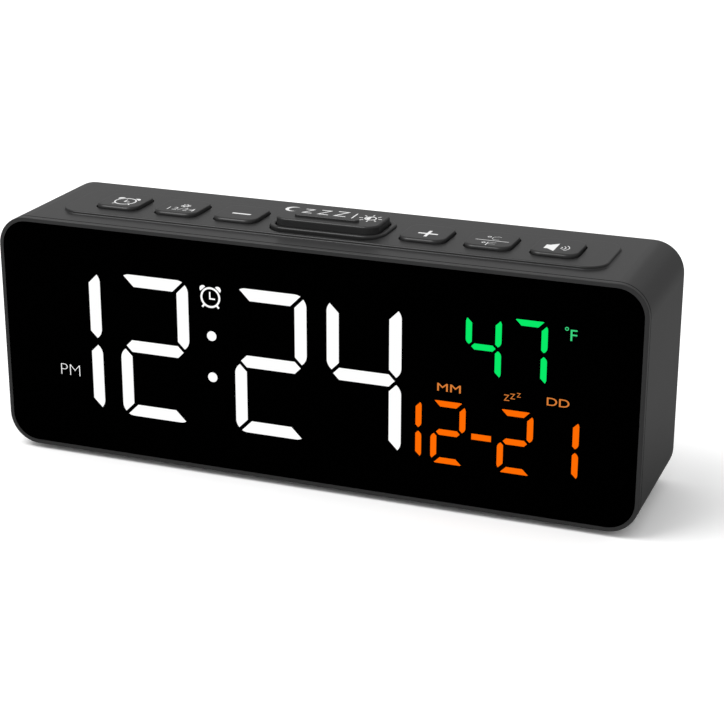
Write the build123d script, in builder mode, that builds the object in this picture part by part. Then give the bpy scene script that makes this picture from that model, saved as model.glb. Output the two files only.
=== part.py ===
from build123d import *
from math import acos, cos, radians, sin, sqrt
import os

# A bedside digital clock in millimetres. X runs along the display, Y from the display to the back,
# Z up. The origin is the middle of the footprint, on the surface that the feet stand on.

# Display digits: outline, stroke and the slit between neighbouring segments
DIGIT_WIDTH = 21.2
DIGIT_HEIGHT = 41.7
DIGIT_STROKE = 3.45
DIGIT_SLIT = 1.0
DIGIT_CORNER = 3.4
DIGIT_DROP = 0.1
DIGIT_SPACE = 5.8
COLON_SPACE = 13.7
COLON_RISE = 6.0
COLON_DOT = 2.8
SMALL_WIDTH = 9.65
SMALL_HEIGHT = 17.8
SMALL_STROKE = 1.65
SMALL_SLIT = 0.8
SMALL_CORNER = 1.6
SMALL_DROP = 0.65
SMALL_SPACE = 2.6
DASH_WIDTH = 5.4
DASH_SPACE = 1.7
COLUMN_SPACE = 4.15
COLUMN_GAP = 7.4
MITRE_SHIFT = 0.18
WAIST_GAP = 0.4

# Display module behind the lens
MODULE_MARGIN_LEFT = 17.45
MODULE_MARGIN_RIGHT = 6.4
MODULE_MARGIN_Z = 3.5
MODULE_CORNER = 2.0
REFLECTOR_DEPTH = 8.0
DIFFUSER_DEPTH = 1.5
BOARD_THICKNESS = 1.6
BOARD_OVERLAP = 5.5
BOARD_OVERLAP_Z = 1.0
PEG_RADIUS = 1.0
PEG_LENGTH = 2.2
PEG_INSET = 3.2
LED_SIZE = 1.2
LED_HEIGHT = 0.8

# Case: a sleeve round the module, a bezel at the front and a cover at the back
CASE_MARGIN_X = 10.3
CASE_MARGIN_Z = 8.9
CASE_DEPTH = 43.0
CASE_CORNER = 8.7
WALL = 2.2
BACK_EDGE_RADIUS = 1.5
SHADOW_WIDTH = 0.4
SHADOW_DEPTH = 0.5
FOOT_HEIGHT = 1.5
FOOT_RADIUS = 5.0
FOOT_RECESS = 0.6
FOOT_INSET_X = 20.8
FOOT_INSET_Y = 8.5
FIT_GAP = 0.1

# Bezel and lens
BEZEL_RIM = 1.15
BEZEL_LIP = 1.95
BEZEL_EDGE_RADIUS = 0.2
SKIRT_DEPTH = 6.0
SKIRT_WALL = 1.9
LENS_THICKNESS = 1.0
LENS_EDGE = 0.12
TAPE_THICKNESS = 0.15
MODULE_GAP = 0.15
SNAP_LENGTH = 12.0
SNAP_WIDTH = 1.0
SNAP_RISE = 0.45
SNAP_OFFSET = 45.0
SNAP_BACK = 2.0

# Keys on the top: a low plateau, six square keys and a tall bar with a collar in a moat
KEY_ROW_Y = -1.0
PAD_DEPTH = 24.4
PAD_HEIGHT = 0.8
PAD_CORNER = 6.0
PAD_EDGE = 0.4
PAD_MARGIN = 8.7
KEY_WIDTH = 12.8
KEY_DEPTH = 14.0
KEY_CORNER = 3.2
KEY_RISE = 1.0
KEY_EDGE = 0.85
KEY_GAP = 0.35
KEY_SPACE = 5.3
KEY_WALL = 1.3
FLANGE_MARGIN = 1.2
FLANGE_THICKNESS = 1.2
STEM_RADIUS = 2.0
STEM_LENGTH = 2.8
BAR_WIDTH = 29.6
BAR_DEPTH = 14.6
BAR_CORNER = 3.5
BAR_RISE = 2.8
BAR_EDGE = 0.5
BAR_SPACE = 6.0
COLLAR_WALL = 1.5
COLLAR_HEIGHT = 0.75
COLLAR_EDGE = 0.5
MOAT_WIDTH = 1.9
MOAT_DEPTH = 0.8
RIDGE_LENGTH = 18.6
RIDGE_WIDTH = 2.0
RIDGE_RISE = 0.6
RIDGE_EDGE = 0.3
RIDGE_OFFSET = -3.2
RIDGE_SHIFT = -0.6

# Key board and its push switches
KEY_BOARD_THICKNESS = 1.2
KEY_BOARD_GAP = 2.1
KEY_BOARD_BACK = 14.0
KEY_BOARD_MARGIN = 4.5
SWITCH_SIZE = 6.0
SWITCH_HEIGHT = 3.5
SWITCH_TRAVEL = 0.5
PLUNGER_RADIUS = 1.7
PLUNGER_RISE = 1.5
PLUNGER_SEAT = 0.5
PLUNGER_GAP = 0.2
PLUNGER_FLOOR = 0.3

# Screws, posts and bosses
POST_RADIUS = 2.5
POST_WEB = 3.0
BOSS_RADIUS = 3.5
BOSS_LENGTH = 9.0
BOSS_INSET_X = 3.8
BOSS_INSET_Z = 7.7
SCREW_RADIUS = 1.0
SCREW_HEAD_RADIUS = 2.1
SCREW_HEAD_HEIGHT = 1.4
SCREW_LENGTH = 6.0
SCREW_FIT = 0.05
SCREW_CLEAR = 0.2
COVER_SCREW_RADIUS = 1.3
COVER_SCREW_HEAD = 2.7
COVER_SCREW_HEAD_HEIGHT = 1.1
COVER_SCREW_LENGTH = 8.0
POST_HOLE_END = 0.8
DRIVE_RADIUS = 0.9
DRIVE_WIDTH = 0.5
DRIVE_DEPTH = 0.7

# Back cover
COVER_THICKNESS = 2.2
COVER_RECESS = 1.0
COVER_GAP = 0.15
COVER_EDGE = 0.4

# Coin cell, its cup and the quarter-turn cap
CELL_X = -52.0
CELL_RADIUS = 10.0
CELL_HEIGHT = 3.2
CELL_CAN_HEIGHT = 2.6
CELL_CAP_RADIUS = 8.8
CUP_GAP = 0.8
CUP_WALL = 2.2
CUP_FLOOR = 1.2
CAP_THICKNESS = 1.8
CAP_COVER = 0.4
CAP_NECK = 2.0
CAP_GAP = 0.2
CAP_CELL_GAP = 0.4
LUG_REACH = 1.5
LUG_WIDTH = 5.5
LUG_THICKNESS = 0.9
LUG_TURN = 50.0
COIN_SLOT_LENGTH = 15.0
COIN_SLOT_WIDTH = 2.0
COIN_SLOT_DEPTH = 1.0
CONTACT_THICKNESS = 0.3
CONTACT_WIDTH = 4.0
CONTACT_TAIL = 1.6
CONTACT_GAP = 0.2
CONTACT_REACH = 3.0
CONTACT_DISC = 6.0

# Loudspeaker and its grille
SPEAKER_X = 50.0
SPEAKER_RADIUS = 18.0
SPEAKER_FLANGE = 2.5
SPEAKER_FLANGE_THICKNESS = 1.0
SPEAKER_DEPTH = 7.8
SPEAKER_NECK_RADIUS = 9.5
SPEAKER_SHEET = 0.8
MAGNET_RADIUS = 9.0
MAGNET_HEIGHT = 4.5
CONE_SHEET = 0.4
CONE_DEPTH = 3.6
VOICE_RADIUS = 5.0
RING_GAP = 0.2
RING_WALL = 1.0
CLAMP_RADIUS = 2.2
CLAMP_GAP = 0.2
CLAMP_BITE = 0.7
CLAMP_SCREW_RADIUS = 0.9
CLAMP_HEAD_HEIGHT = 0.8
GRILLE_HOLE = 0.9
GRILLE_PITCH = 4.2
GRILLE_RINGS = 3

# Power inlet on its own small board
POWER_Z = 14.0
POWER_BOARD_WIDTH = 34.0
POWER_BOARD_HEIGHT = 16.0
POWER_BOARD_THICKNESS = 1.2
POWER_POST_INSET = 3.5
INLET_WIDTH = 8.94
INLET_HEIGHT = 3.26
INLET_LENGTH = 8.8
INLET_SHEET = 0.3
INLET_GAP = 0.3
INLET_RECESS = 0.5
TONGUE_WIDTH = 6.7
TONGUE_THICKNESS = 0.7
TONGUE_SETBACK = 0.8
TONGUE_BASE = 2.0
VENT_WIDTH = 1.4
VENT_HEIGHT = 4.0
VENT_PITCH = 3.0
VENT_COUNT = 5
VENT_DROP = 6.5
BEAD_RADIUS = 1.2
BEAD_LEAD = 0.25
BEAD_LEAD_SPACE = 1.2
BEAD_REACH = 5.0

# Chips, sockets and flat leads inside
CHIP_SIZE = 10.0
CHIP_BODY = 8.0
CHIP_HEIGHT = 1.4
CHIP_LEG = 0.3
CHIP_X = -12.0
CHIP_Z = 4.0
CAPACITOR_RADIUS = 3.15
CAPACITOR_HEIGHT = 6.5
CAPACITOR_X = 22.0
CAPACITOR_Z = -12.0
SOCKET_WIDTH = 12.0
SOCKET_DEPTH = 3.0
SOCKET_HEIGHT = 4.0
RIBBON_WIDTH = 9.0
RIBBON_THICKNESS = 0.3
RIBBON_X = -36.0
RIBBON_DROP = 7.0
RIBBON_BEND = 3.5
LEAD_WIDTH = 2.8
LEAD_THICKNESS = 1.3
LEAD_BEND = 2.5
LEAD_SOCKET = 5.0
LEAD_SOCKET_DEPTH = 2.5
LEAD_STEP = 4.0
LEAD_RUN = 2.5
POWER_LEAD_X = -6.0
POWER_LEAD_RISE = 3.0

# Module and case sizes that follow from the digits and margins
DIGIT_PITCH = DIGIT_WIDTH + DIGIT_SPACE
SMALL_PITCH = SMALL_WIDTH + SMALL_SPACE
TIME_LENGTH = DIGIT_STROKE + 2 * DIGIT_SPACE + COLON_SPACE + 3 * DIGIT_WIDTH
DATE_LENGTH = SMALL_STROKE + 3 * SMALL_WIDTH + 2 * SMALL_SPACE + DASH_WIDTH + 2 * DASH_SPACE
DIGITS_LENGTH = TIME_LENGTH + COLUMN_SPACE + DATE_LENGTH
MODULE_WIDTH = MODULE_MARGIN_LEFT + DIGITS_LENGTH + MODULE_MARGIN_RIGHT
MODULE_HEIGHT = max(DIGIT_HEIGHT, 2 * SMALL_HEIGHT + COLUMN_GAP) + 2 * MODULE_MARGIN_Z
CASE_WIDTH = MODULE_WIDTH + 2 * CASE_MARGIN_X
CASE_HEIGHT = MODULE_HEIGHT + 2 * CASE_MARGIN_Z
FRONT_Y = -CASE_DEPTH / 2
BACK_Y = CASE_DEPTH / 2
MID_Z = FOOT_HEIGHT + CASE_HEIGHT / 2
TOP_Z = FOOT_HEIGHT + CASE_HEIGHT
INNER_TOP_Z = TOP_Z - WALL

# Levels along Y, from the lens to the display board
SLEEVE_FRONT_Y = FRONT_Y + BEZEL_LIP
POCKET_DEPTH = LENS_THICKNESS + TAPE_THICKNESS
OPENING_INSET = WALL + FIT_GAP + SKIRT_WALL
MODULE_FRONT_Y = FRONT_Y + POCKET_DEPTH + MODULE_GAP
BOARD_FRONT_Y = MODULE_FRONT_Y + REFLECTOR_DEPTH
BOARD_BACK_Y = BOARD_FRONT_Y + BOARD_THICKNESS
BOARD_WIDTH = MODULE_WIDTH + 2 * BOARD_OVERLAP
BOARD_HEIGHT = MODULE_HEIGHT + 2 * BOARD_OVERLAP_Z
SNAP_Y = SLEEVE_FRONT_Y + SKIRT_DEPTH - SNAP_BACK
COVER_OUTER_Y = BACK_Y - COVER_RECESS
COVER_INNER_Y = COVER_OUTER_Y - COVER_THICKNESS

# Levels along Z, from the key tops to the key board
PAD_TOP_Z = TOP_Z + PAD_HEIGHT
KEY_TOP_Z = PAD_TOP_Z + KEY_RISE
BAR_TOP_Z = PAD_TOP_Z + BAR_RISE
FLANGE_TOP_Z = INNER_TOP_Z - FIT_GAP
FLANGE_BOTTOM_Z = FLANGE_TOP_Z - FLANGE_THICKNESS
PLUNGER_TOP_Z = FLANGE_BOTTOM_Z - STEM_LENGTH
SWITCH_TOP_Z = PLUNGER_TOP_Z - PLUNGER_RISE
KEY_BOARD_TOP_Z = SWITCH_TOP_Z - SWITCH_HEIGHT
KEY_BOARD_FRONT_Y = BOARD_BACK_Y + KEY_BOARD_GAP
KEY_BOARD_BACK_Y = KEY_ROW_Y + KEY_BOARD_BACK
WELL_DEPTH = PLUNGER_SEAT + SWITCH_TRAVEL + PLUNGER_FLOOR

# Key places along X: three each side of the bar
KEY_PITCH = KEY_WIDTH + KEY_SPACE
FIRST_KEY_X = BAR_WIDTH / 2 + BAR_SPACE + KEY_WIDTH / 2
KEY_SIDES = [FIRST_KEY_X + KEY_PITCH * i for i in range(3)]
KEY_PLACES = {
    "alarm": -KEY_SIDES[2],
    "set": -KEY_SIDES[1],
    "minus": -KEY_SIDES[0],
    "snooze": 0.0,
    "plus": KEY_SIDES[0],
    "temperature": KEY_SIDES[1],
    "volume": KEY_SIDES[2],
}
SQUARE_KEYS = [name for name in KEY_PLACES if name != "snooze"]
PAD_WIDTH = 2 * (KEY_SIDES[2] + KEY_WIDTH / 2 + PAD_MARGIN)
COLLAR_WIDTH = BAR_WIDTH + 2 * (KEY_GAP + COLLAR_WALL)
COLLAR_DEPTH = BAR_DEPTH + 2 * (KEY_GAP + COLLAR_WALL)
COLLAR_CORNER = BAR_CORNER + KEY_GAP + COLLAR_WALL
KEY_BOARD_WIDTH = 2 * (KEY_SIDES[2] + SWITCH_SIZE / 2 + KEY_BOARD_MARGIN)
KEY_POST_XS = [KEY_SIDES[0] + KEY_PITCH / 2, KEY_SIDES[1] + KEY_PITCH / 2]
KEY_POST_Y = KEY_ROW_Y + KEY_DEPTH / 2 + FLANGE_MARGIN + POST_RADIUS + FIT_GAP
KEY_POSTS = [(side * x, KEY_POST_Y) for x in KEY_POST_XS for side in (-1, 1)]

# Post and boss places, seen from the front and measured from the middle of the case
BOARD_POST_X = CASE_WIDTH / 2 - OPENING_INSET - POST_RADIUS - SCREW_FIT
BOARD_POST_Z = BOARD_HEIGHT / 2 - 2 * POST_RADIUS
BOARD_POSTS = [(x, z) for x in (-BOARD_POST_X, BOARD_POST_X) for z in (-BOARD_POST_Z, BOARD_POST_Z)]
PEG_X = MODULE_WIDTH / 2 - PEG_INSET
PEG_Z = MODULE_HEIGHT / 2 - PEG_RADIUS - FIT_GAP
PEGS = [(x, z) for x in (-PEG_X, PEG_X) for z in (-PEG_Z, PEG_Z)]
BOSS_X = CASE_WIDTH / 2 - WALL - BOSS_INSET_X
BOSS_Z = CASE_HEIGHT / 2 - WALL - BOSS_INSET_Z
BOSSES = [(x, z) for x in (-BOSS_X, BOSS_X) for z in (-BOSS_Z, BOSS_Z)]
FEET = [
    (x, y)
    for x in (-CASE_WIDTH / 2 + FOOT_INSET_X, CASE_WIDTH / 2 - FOOT_INSET_X)
    for y in (FRONT_Y + FOOT_INSET_Y, BACK_Y - FOOT_INSET_Y)
]

# Coin cell levels along Y and radii
CAP_BACK_Y = COVER_OUTER_Y - CAP_THICKNESS
NECK_FRONT_Y = CAP_BACK_Y - CAP_NECK
CELL_BACK_Y = NECK_FRONT_Y - CAP_CELL_GAP
CELL_FRONT_Y = CELL_BACK_Y - CELL_HEIGHT
CUP_BOTTOM_Y = CELL_FRONT_Y - CONTACT_THICKNESS
CUP_FRONT_Y = CUP_BOTTOM_Y - CUP_FLOOR
THROAT_RADIUS = CELL_RADIUS + CUP_GAP
NECK_RADIUS = THROAT_RADIUS - CAP_GAP
LUG_RADIUS = NECK_RADIUS + LUG_REACH
GROOVE_RADIUS = LUG_RADIUS + CAP_GAP
CUP_RADIUS = GROOVE_RADIUS + CUP_WALL
CAP_RADIUS = LUG_RADIUS + CAP_COVER
GROOVE_FRONT_Y = NECK_FRONT_Y - CAP_GAP
GROOVE_DEPTH = LUG_THICKNESS + 2 * CAP_GAP

# Loudspeaker and power levels along Y
FLANGE_FRONT_Y = COVER_INNER_Y - SPEAKER_FLANGE_THICKNESS
BASKET_FRONT_Y = COVER_INNER_Y - SPEAKER_DEPTH
MAGNET_FRONT_Y = BASKET_FRONT_Y - MAGNET_HEIGHT
RING_RADIUS = SPEAKER_RADIUS + RING_GAP
CLAMP_DISTANCE = RING_RADIUS + RING_WALL + CLAMP_RADIUS + CLAMP_GAP
CLAMP_HEAD = CLAMP_DISTANCE - SPEAKER_RADIUS + CLAMP_BITE
POWER_MID_Z = FOOT_HEIGHT + POWER_Z
INLET_MOUTH_Y = COVER_OUTER_Y - INLET_RECESS
POWER_BOARD_BACK_Y = INLET_MOUTH_Y - INLET_LENGTH
POWER_BOARD_FRONT_Y = POWER_BOARD_BACK_Y - POWER_BOARD_THICKNESS
POWER_POST_X = POWER_BOARD_WIDTH / 2 - POWER_POST_INSET
POWER_POSTS = [(-POWER_POST_X, 0), (POWER_POST_X, 0)]

# Heights at which the leads leave their pieces
POWER_LEAD_Z = POWER_MID_Z + POWER_LEAD_RISE
SPEAKER_LEAD_Z = MID_Z - SPEAKER_NECK_RADIUS - LEAD_THICKNESS
PLUS_LEAD_Z = MID_Z + CELL_RADIUS + CONTACT_GAP + CONTACT_THICKNESS / 2


def front_plane(y, x=0.0, z=MID_Z):
    """Plane seen from the front: local x is X, local y is Z, and extruding goes towards the lens."""
    return Plane(origin=(x, y, z), x_dir=(1, 0, 0), z_dir=(0, -1, 0))


def level_plane(z, x=0.0, y=KEY_ROW_Y):
    """Level plane at height z, with its middle on the key row."""
    return Plane(origin=(x, y, z))


def case_outline(inset, mode=Mode.ADD):
    """Rounded outline of the case, drawn in by inset."""
    width = CASE_WIDTH - 2 * inset
    height = CASE_HEIGHT - 2 * inset
    RectangleRounded(width, height, CASE_CORNER - inset, mode=mode)


def corner_meeting(centre_x, centre_z, radius, level, sign):
    """Point where the line x - sign * z = level meets a corner arc about the given centre."""
    share = (level - centre_x + sign * centre_z) / (radius * sqrt(2))
    angle = acos(share) - radians(45)
    return (centre_x + radius * cos(angle), centre_z + sign * radius * sin(angle))


class Digit:
    """A seven-segment digit about its own middle: named segment outlines and lamp places."""

    def __init__(self, width, height, stroke, slit, corner, drop):
        self.half_width = width / 2
        self.half_height = height / 2
        self.upright_end = height / 2 - drop
        self.stroke = stroke
        self.corner = corner
        self.slit = slit * sqrt(2)

    def upright(self):
        """Outline points of the upper right segment: inner top, outer edge from tip to tip, inner low."""
        a, b, t, r = self.half_width, self.upright_end, self.stroke, self.corner
        top_level = a - b + MITRE_SHIFT
        low_level = a - WAIST_GAP
        top_tip = corner_meeting(a - r, b - r, r, top_level, 1)
        low_tip = corner_meeting(a - r, WAIST_GAP + r, r, low_level, -1)
        return [(a - t, b - t - MITRE_SHIFT), top_tip, (a, b - r), (a, WAIST_GAP + r), low_tip,
                (a - t, t - WAIST_GAP)]

    def level_top(self):
        """Outline points of the top segment's right half, from the inner to the outer edge."""
        a, b, t, r = self.half_width, self.half_height, self.stroke, self.corner
        shift = self.slit - MITRE_SHIFT
        tip = corner_meeting(a - r, b - r, r, a - b - shift, 1)
        return [(a - t - shift, b - t), tip, (a - r, b)]

    def upright_face(self):
        """Upper right segment."""
        inner_top, top_tip, high, low, low_tip, inner_low = self.upright()
        with BuildSketch() as face:
            with BuildLine():
                Line(inner_top, top_tip)
                RadiusArc(top_tip, high, self.corner)
                Line(high, low)
                RadiusArc(low, low_tip, self.corner)
                Polyline(low_tip, inner_low, inner_top)
            make_face()
        return face.sketch

    def top_face(self):
        """Top segment."""
        inner, tip, flat = self.level_top()
        with BuildSketch() as face:
            with BuildLine():
                Line((-inner[0], inner[1]), inner)
                Line(inner, tip)
                RadiusArc(tip, flat, -self.corner)
                Line(flat, (-flat[0], flat[1]))
                RadiusArc((-flat[0], flat[1]), (-tip[0], tip[1]), -self.corner)
                Line((-tip[0], tip[1]), (-inner[0], inner[1]))
            make_face()
        return face.sketch

    def middle_face(self):
        """Middle segment, with a point at each end."""
        tip = self.half_width - WAIST_GAP - self.slit
        half = self.stroke / 2
        with BuildSketch() as face:
            Polygon((tip, 0), (tip - half, half), (half - tip, half), (-tip, 0), (half - tip, -half),
                    (tip - half, -half), align=None)
        return face.sketch

    def lamps(self):
        """Places of the seven lamps: the four uprights first, then top, middle and bottom."""
        x = self.half_width - self.stroke / 2
        z = self.half_height / 2
        level = self.half_height - self.stroke / 2
        return [(x, z), (x, -z), (-x, z), (-x, -z), (0, level), (0, 0), (0, -level)]


BIG_DIGIT = Digit(DIGIT_WIDTH, DIGIT_HEIGHT, DIGIT_STROKE, DIGIT_SLIT, DIGIT_CORNER, DIGIT_DROP)
SMALL_DIGIT = Digit(SMALL_WIDTH, SMALL_HEIGHT, SMALL_STROKE, SMALL_SLIT, SMALL_CORNER, SMALL_DROP)

# Middles of the digits, seen from the front and measured from the middle of the case
TIME_LEFT = MODULE_MARGIN_LEFT - MODULE_WIDTH / 2
TIME_ONE_X = TIME_LEFT + DIGIT_STROKE - DIGIT_WIDTH / 2
HOUR_X = TIME_ONE_X + DIGIT_PITCH
COLON_X = HOUR_X + DIGIT_WIDTH / 2 + COLON_SPACE / 2
TEN_X = COLON_X + COLON_SPACE / 2 + DIGIT_WIDTH / 2
UNIT_X = TEN_X + DIGIT_PITCH
DATE_LEFT = TIME_LEFT + TIME_LENGTH + COLUMN_SPACE
MONTH_ONE_X = DATE_LEFT + SMALL_STROKE - SMALL_WIDTH / 2
MONTH_X = MONTH_ONE_X + SMALL_PITCH
DASH_X = MONTH_X + SMALL_WIDTH / 2 + DASH_SPACE + DASH_WIDTH / 2
DAY_TEN_X = DASH_X + DASH_WIDTH / 2 + DASH_SPACE + SMALL_WIDTH / 2
DAY_X = DAY_TEN_X + SMALL_PITCH
DATE_Z = -(COLUMN_GAP + SMALL_HEIGHT) / 2
TEMPERATURE_Z = (COLUMN_GAP + SMALL_HEIGHT) / 2
TEMPERATURE_XS = [DASH_X, DASH_X + SMALL_PITCH]


def whole_digit(digit):
    """All seven segments of a digit as one sketch about its middle."""
    with BuildSketch() as sketch:
        add(digit.upright_face())
        mirror(about=Plane.YZ)
        add(digit.top_face())
        mirror(about=Plane.XZ)
        add(digit.middle_face())
    return sketch.sketch


def half_digit(digit):
    """Only the two right uprights, which can show a one."""
    with BuildSketch() as sketch:
        add(digit.upright_face())
        mirror(about=Plane.XZ)
    return sketch.sketch


def draw_time():
    """Time digits and colon, drawn into the open sketch."""
    with Locations((TIME_ONE_X, 0)):
        add(half_digit(BIG_DIGIT))
    with Locations((HOUR_X, 0), (TEN_X, 0), (UNIT_X, 0)):
        add(whole_digit(BIG_DIGIT))
    with Locations((COLON_X, COLON_RISE), (COLON_X, -COLON_RISE)):
        Circle(COLON_DOT / 2)


def draw_temperature():
    """Temperature digits, drawn into the open sketch."""
    with Locations(*[(x, TEMPERATURE_Z) for x in TEMPERATURE_XS]):
        add(whole_digit(SMALL_DIGIT))


def draw_date():
    """Month and day digits with the dash between them, drawn into the open sketch."""
    with Locations((MONTH_ONE_X, DATE_Z)):
        add(half_digit(SMALL_DIGIT))
    with Locations((MONTH_X, DATE_Z), (DAY_TEN_X, DATE_Z), (DAY_X, DATE_Z)):
        add(whole_digit(SMALL_DIGIT))
    with Locations((DASH_X, DATE_Z)):
        Rectangle(DASH_WIDTH, SMALL_STROKE)


def lamp_places():
    """Lamp places of every segment, dot and dash, seen from the front."""
    places = [(TIME_ONE_X + x, z) for x, z in BIG_DIGIT.lamps()[:2]]
    for middle in (HOUR_X, TEN_X, UNIT_X):
        places += [(middle + x, z) for x, z in BIG_DIGIT.lamps()]
    places += [(COLON_X, COLON_RISE), (COLON_X, -COLON_RISE)]
    for middle in TEMPERATURE_XS:
        places += [(middle + x, TEMPERATURE_Z + z) for x, z in SMALL_DIGIT.lamps()]
    places += [(MONTH_ONE_X + x, DATE_Z + z) for x, z in SMALL_DIGIT.lamps()[:2]]
    for middle in (MONTH_X, DAY_TEN_X, DAY_X):
        places += [(middle + x, DATE_Z + z) for x, z in SMALL_DIGIT.lamps()]
    places.append((DASH_X, DATE_Z))
    return places


def make_screws(plane, places, out, radius, length, head_radius, head_height):
    """Screws with a cross drive, their heads on the plane and pointing along out times its normal."""
    with BuildPart() as screws:
        with BuildSketch(plane):
            with Locations(*places):
                Circle(head_radius)
        extrude(amount=out * head_height)
        with BuildSketch(plane):
            with Locations(*places):
                Circle(radius)
        extrude(amount=-out * length)
        with BuildSketch(plane.offset(out * head_height)):
            with Locations(*places):
                Rectangle(2 * DRIVE_RADIUS, DRIVE_WIDTH)
                Rectangle(DRIVE_WIDTH, 2 * DRIVE_RADIUS)
        extrude(amount=-out * min(DRIVE_DEPTH, head_height / 2), mode=Mode.SUBTRACT)
    return screws.part


def make_key(x, width, depth, corner, top_z, edge):
    """Hollow key cap with a retaining flange under the case wall and a stem down to its switch."""
    with BuildPart() as key:
        with BuildSketch(level_plane(FLANGE_BOTTOM_Z, x)):
            RectangleRounded(width, depth, corner)
        extrude(amount=top_z - FLANGE_BOTTOM_Z)
        fillet(key.faces().sort_by(Axis.Z)[-1].edges(), edge)
        with BuildSketch(level_plane(FLANGE_BOTTOM_Z, x)):
            RectangleRounded(width + 2 * FLANGE_MARGIN, depth + 2 * FLANGE_MARGIN, corner + FLANGE_MARGIN)
        extrude(amount=FLANGE_THICKNESS)
        with BuildSketch(level_plane(FLANGE_BOTTOM_Z, x)):
            RectangleRounded(width - 2 * KEY_WALL, depth - 2 * KEY_WALL, corner - KEY_WALL)
        extrude(amount=top_z - KEY_WALL - FLANGE_BOTTOM_Z, mode=Mode.SUBTRACT)
        with BuildSketch(level_plane(PLUNGER_TOP_Z, x)):
            Circle(STEM_RADIUS)
        extrude(amount=top_z - KEY_WALL - PLUNGER_TOP_Z)
    return key.part


def make_plunger(x):
    """Round plunger that a key stem pushes into its switch."""
    with BuildPart() as plunger:
        with BuildSketch(level_plane(SWITCH_TOP_Z - PLUNGER_SEAT, x)):
            Circle(PLUNGER_RADIUS)
        extrude(amount=PLUNGER_SEAT + PLUNGER_RISE)
    return plunger.part


def make_lead(x, start_y, start_z, end_z):
    """Flat lead from a piece at the back to a socket on the display board, bent in a plane of equal X."""
    end_y = BOARD_BACK_Y + LEAD_SOCKET_DEPTH
    with BuildPart() as lead:
        with BuildSketch(Plane.YZ.offset(x - LEAD_WIDTH / 2)):
            with BuildLine():
                FilletPolyline((start_y, start_z), (start_y - LEAD_RUN, start_z),
                               (end_y + LEAD_RUN, end_z), (end_y, end_z), radius=LEAD_BEND)
            trace(line_width=LEAD_THICKNESS)
        extrude(amount=LEAD_WIDTH)
    return lead.part


def save(part, name):
    """Label a finished piece and write it to its own file."""
    part.label = name
    export_step(part, f"parts/{name}.step")


os.makedirs("parts", exist_ok=True)

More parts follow.
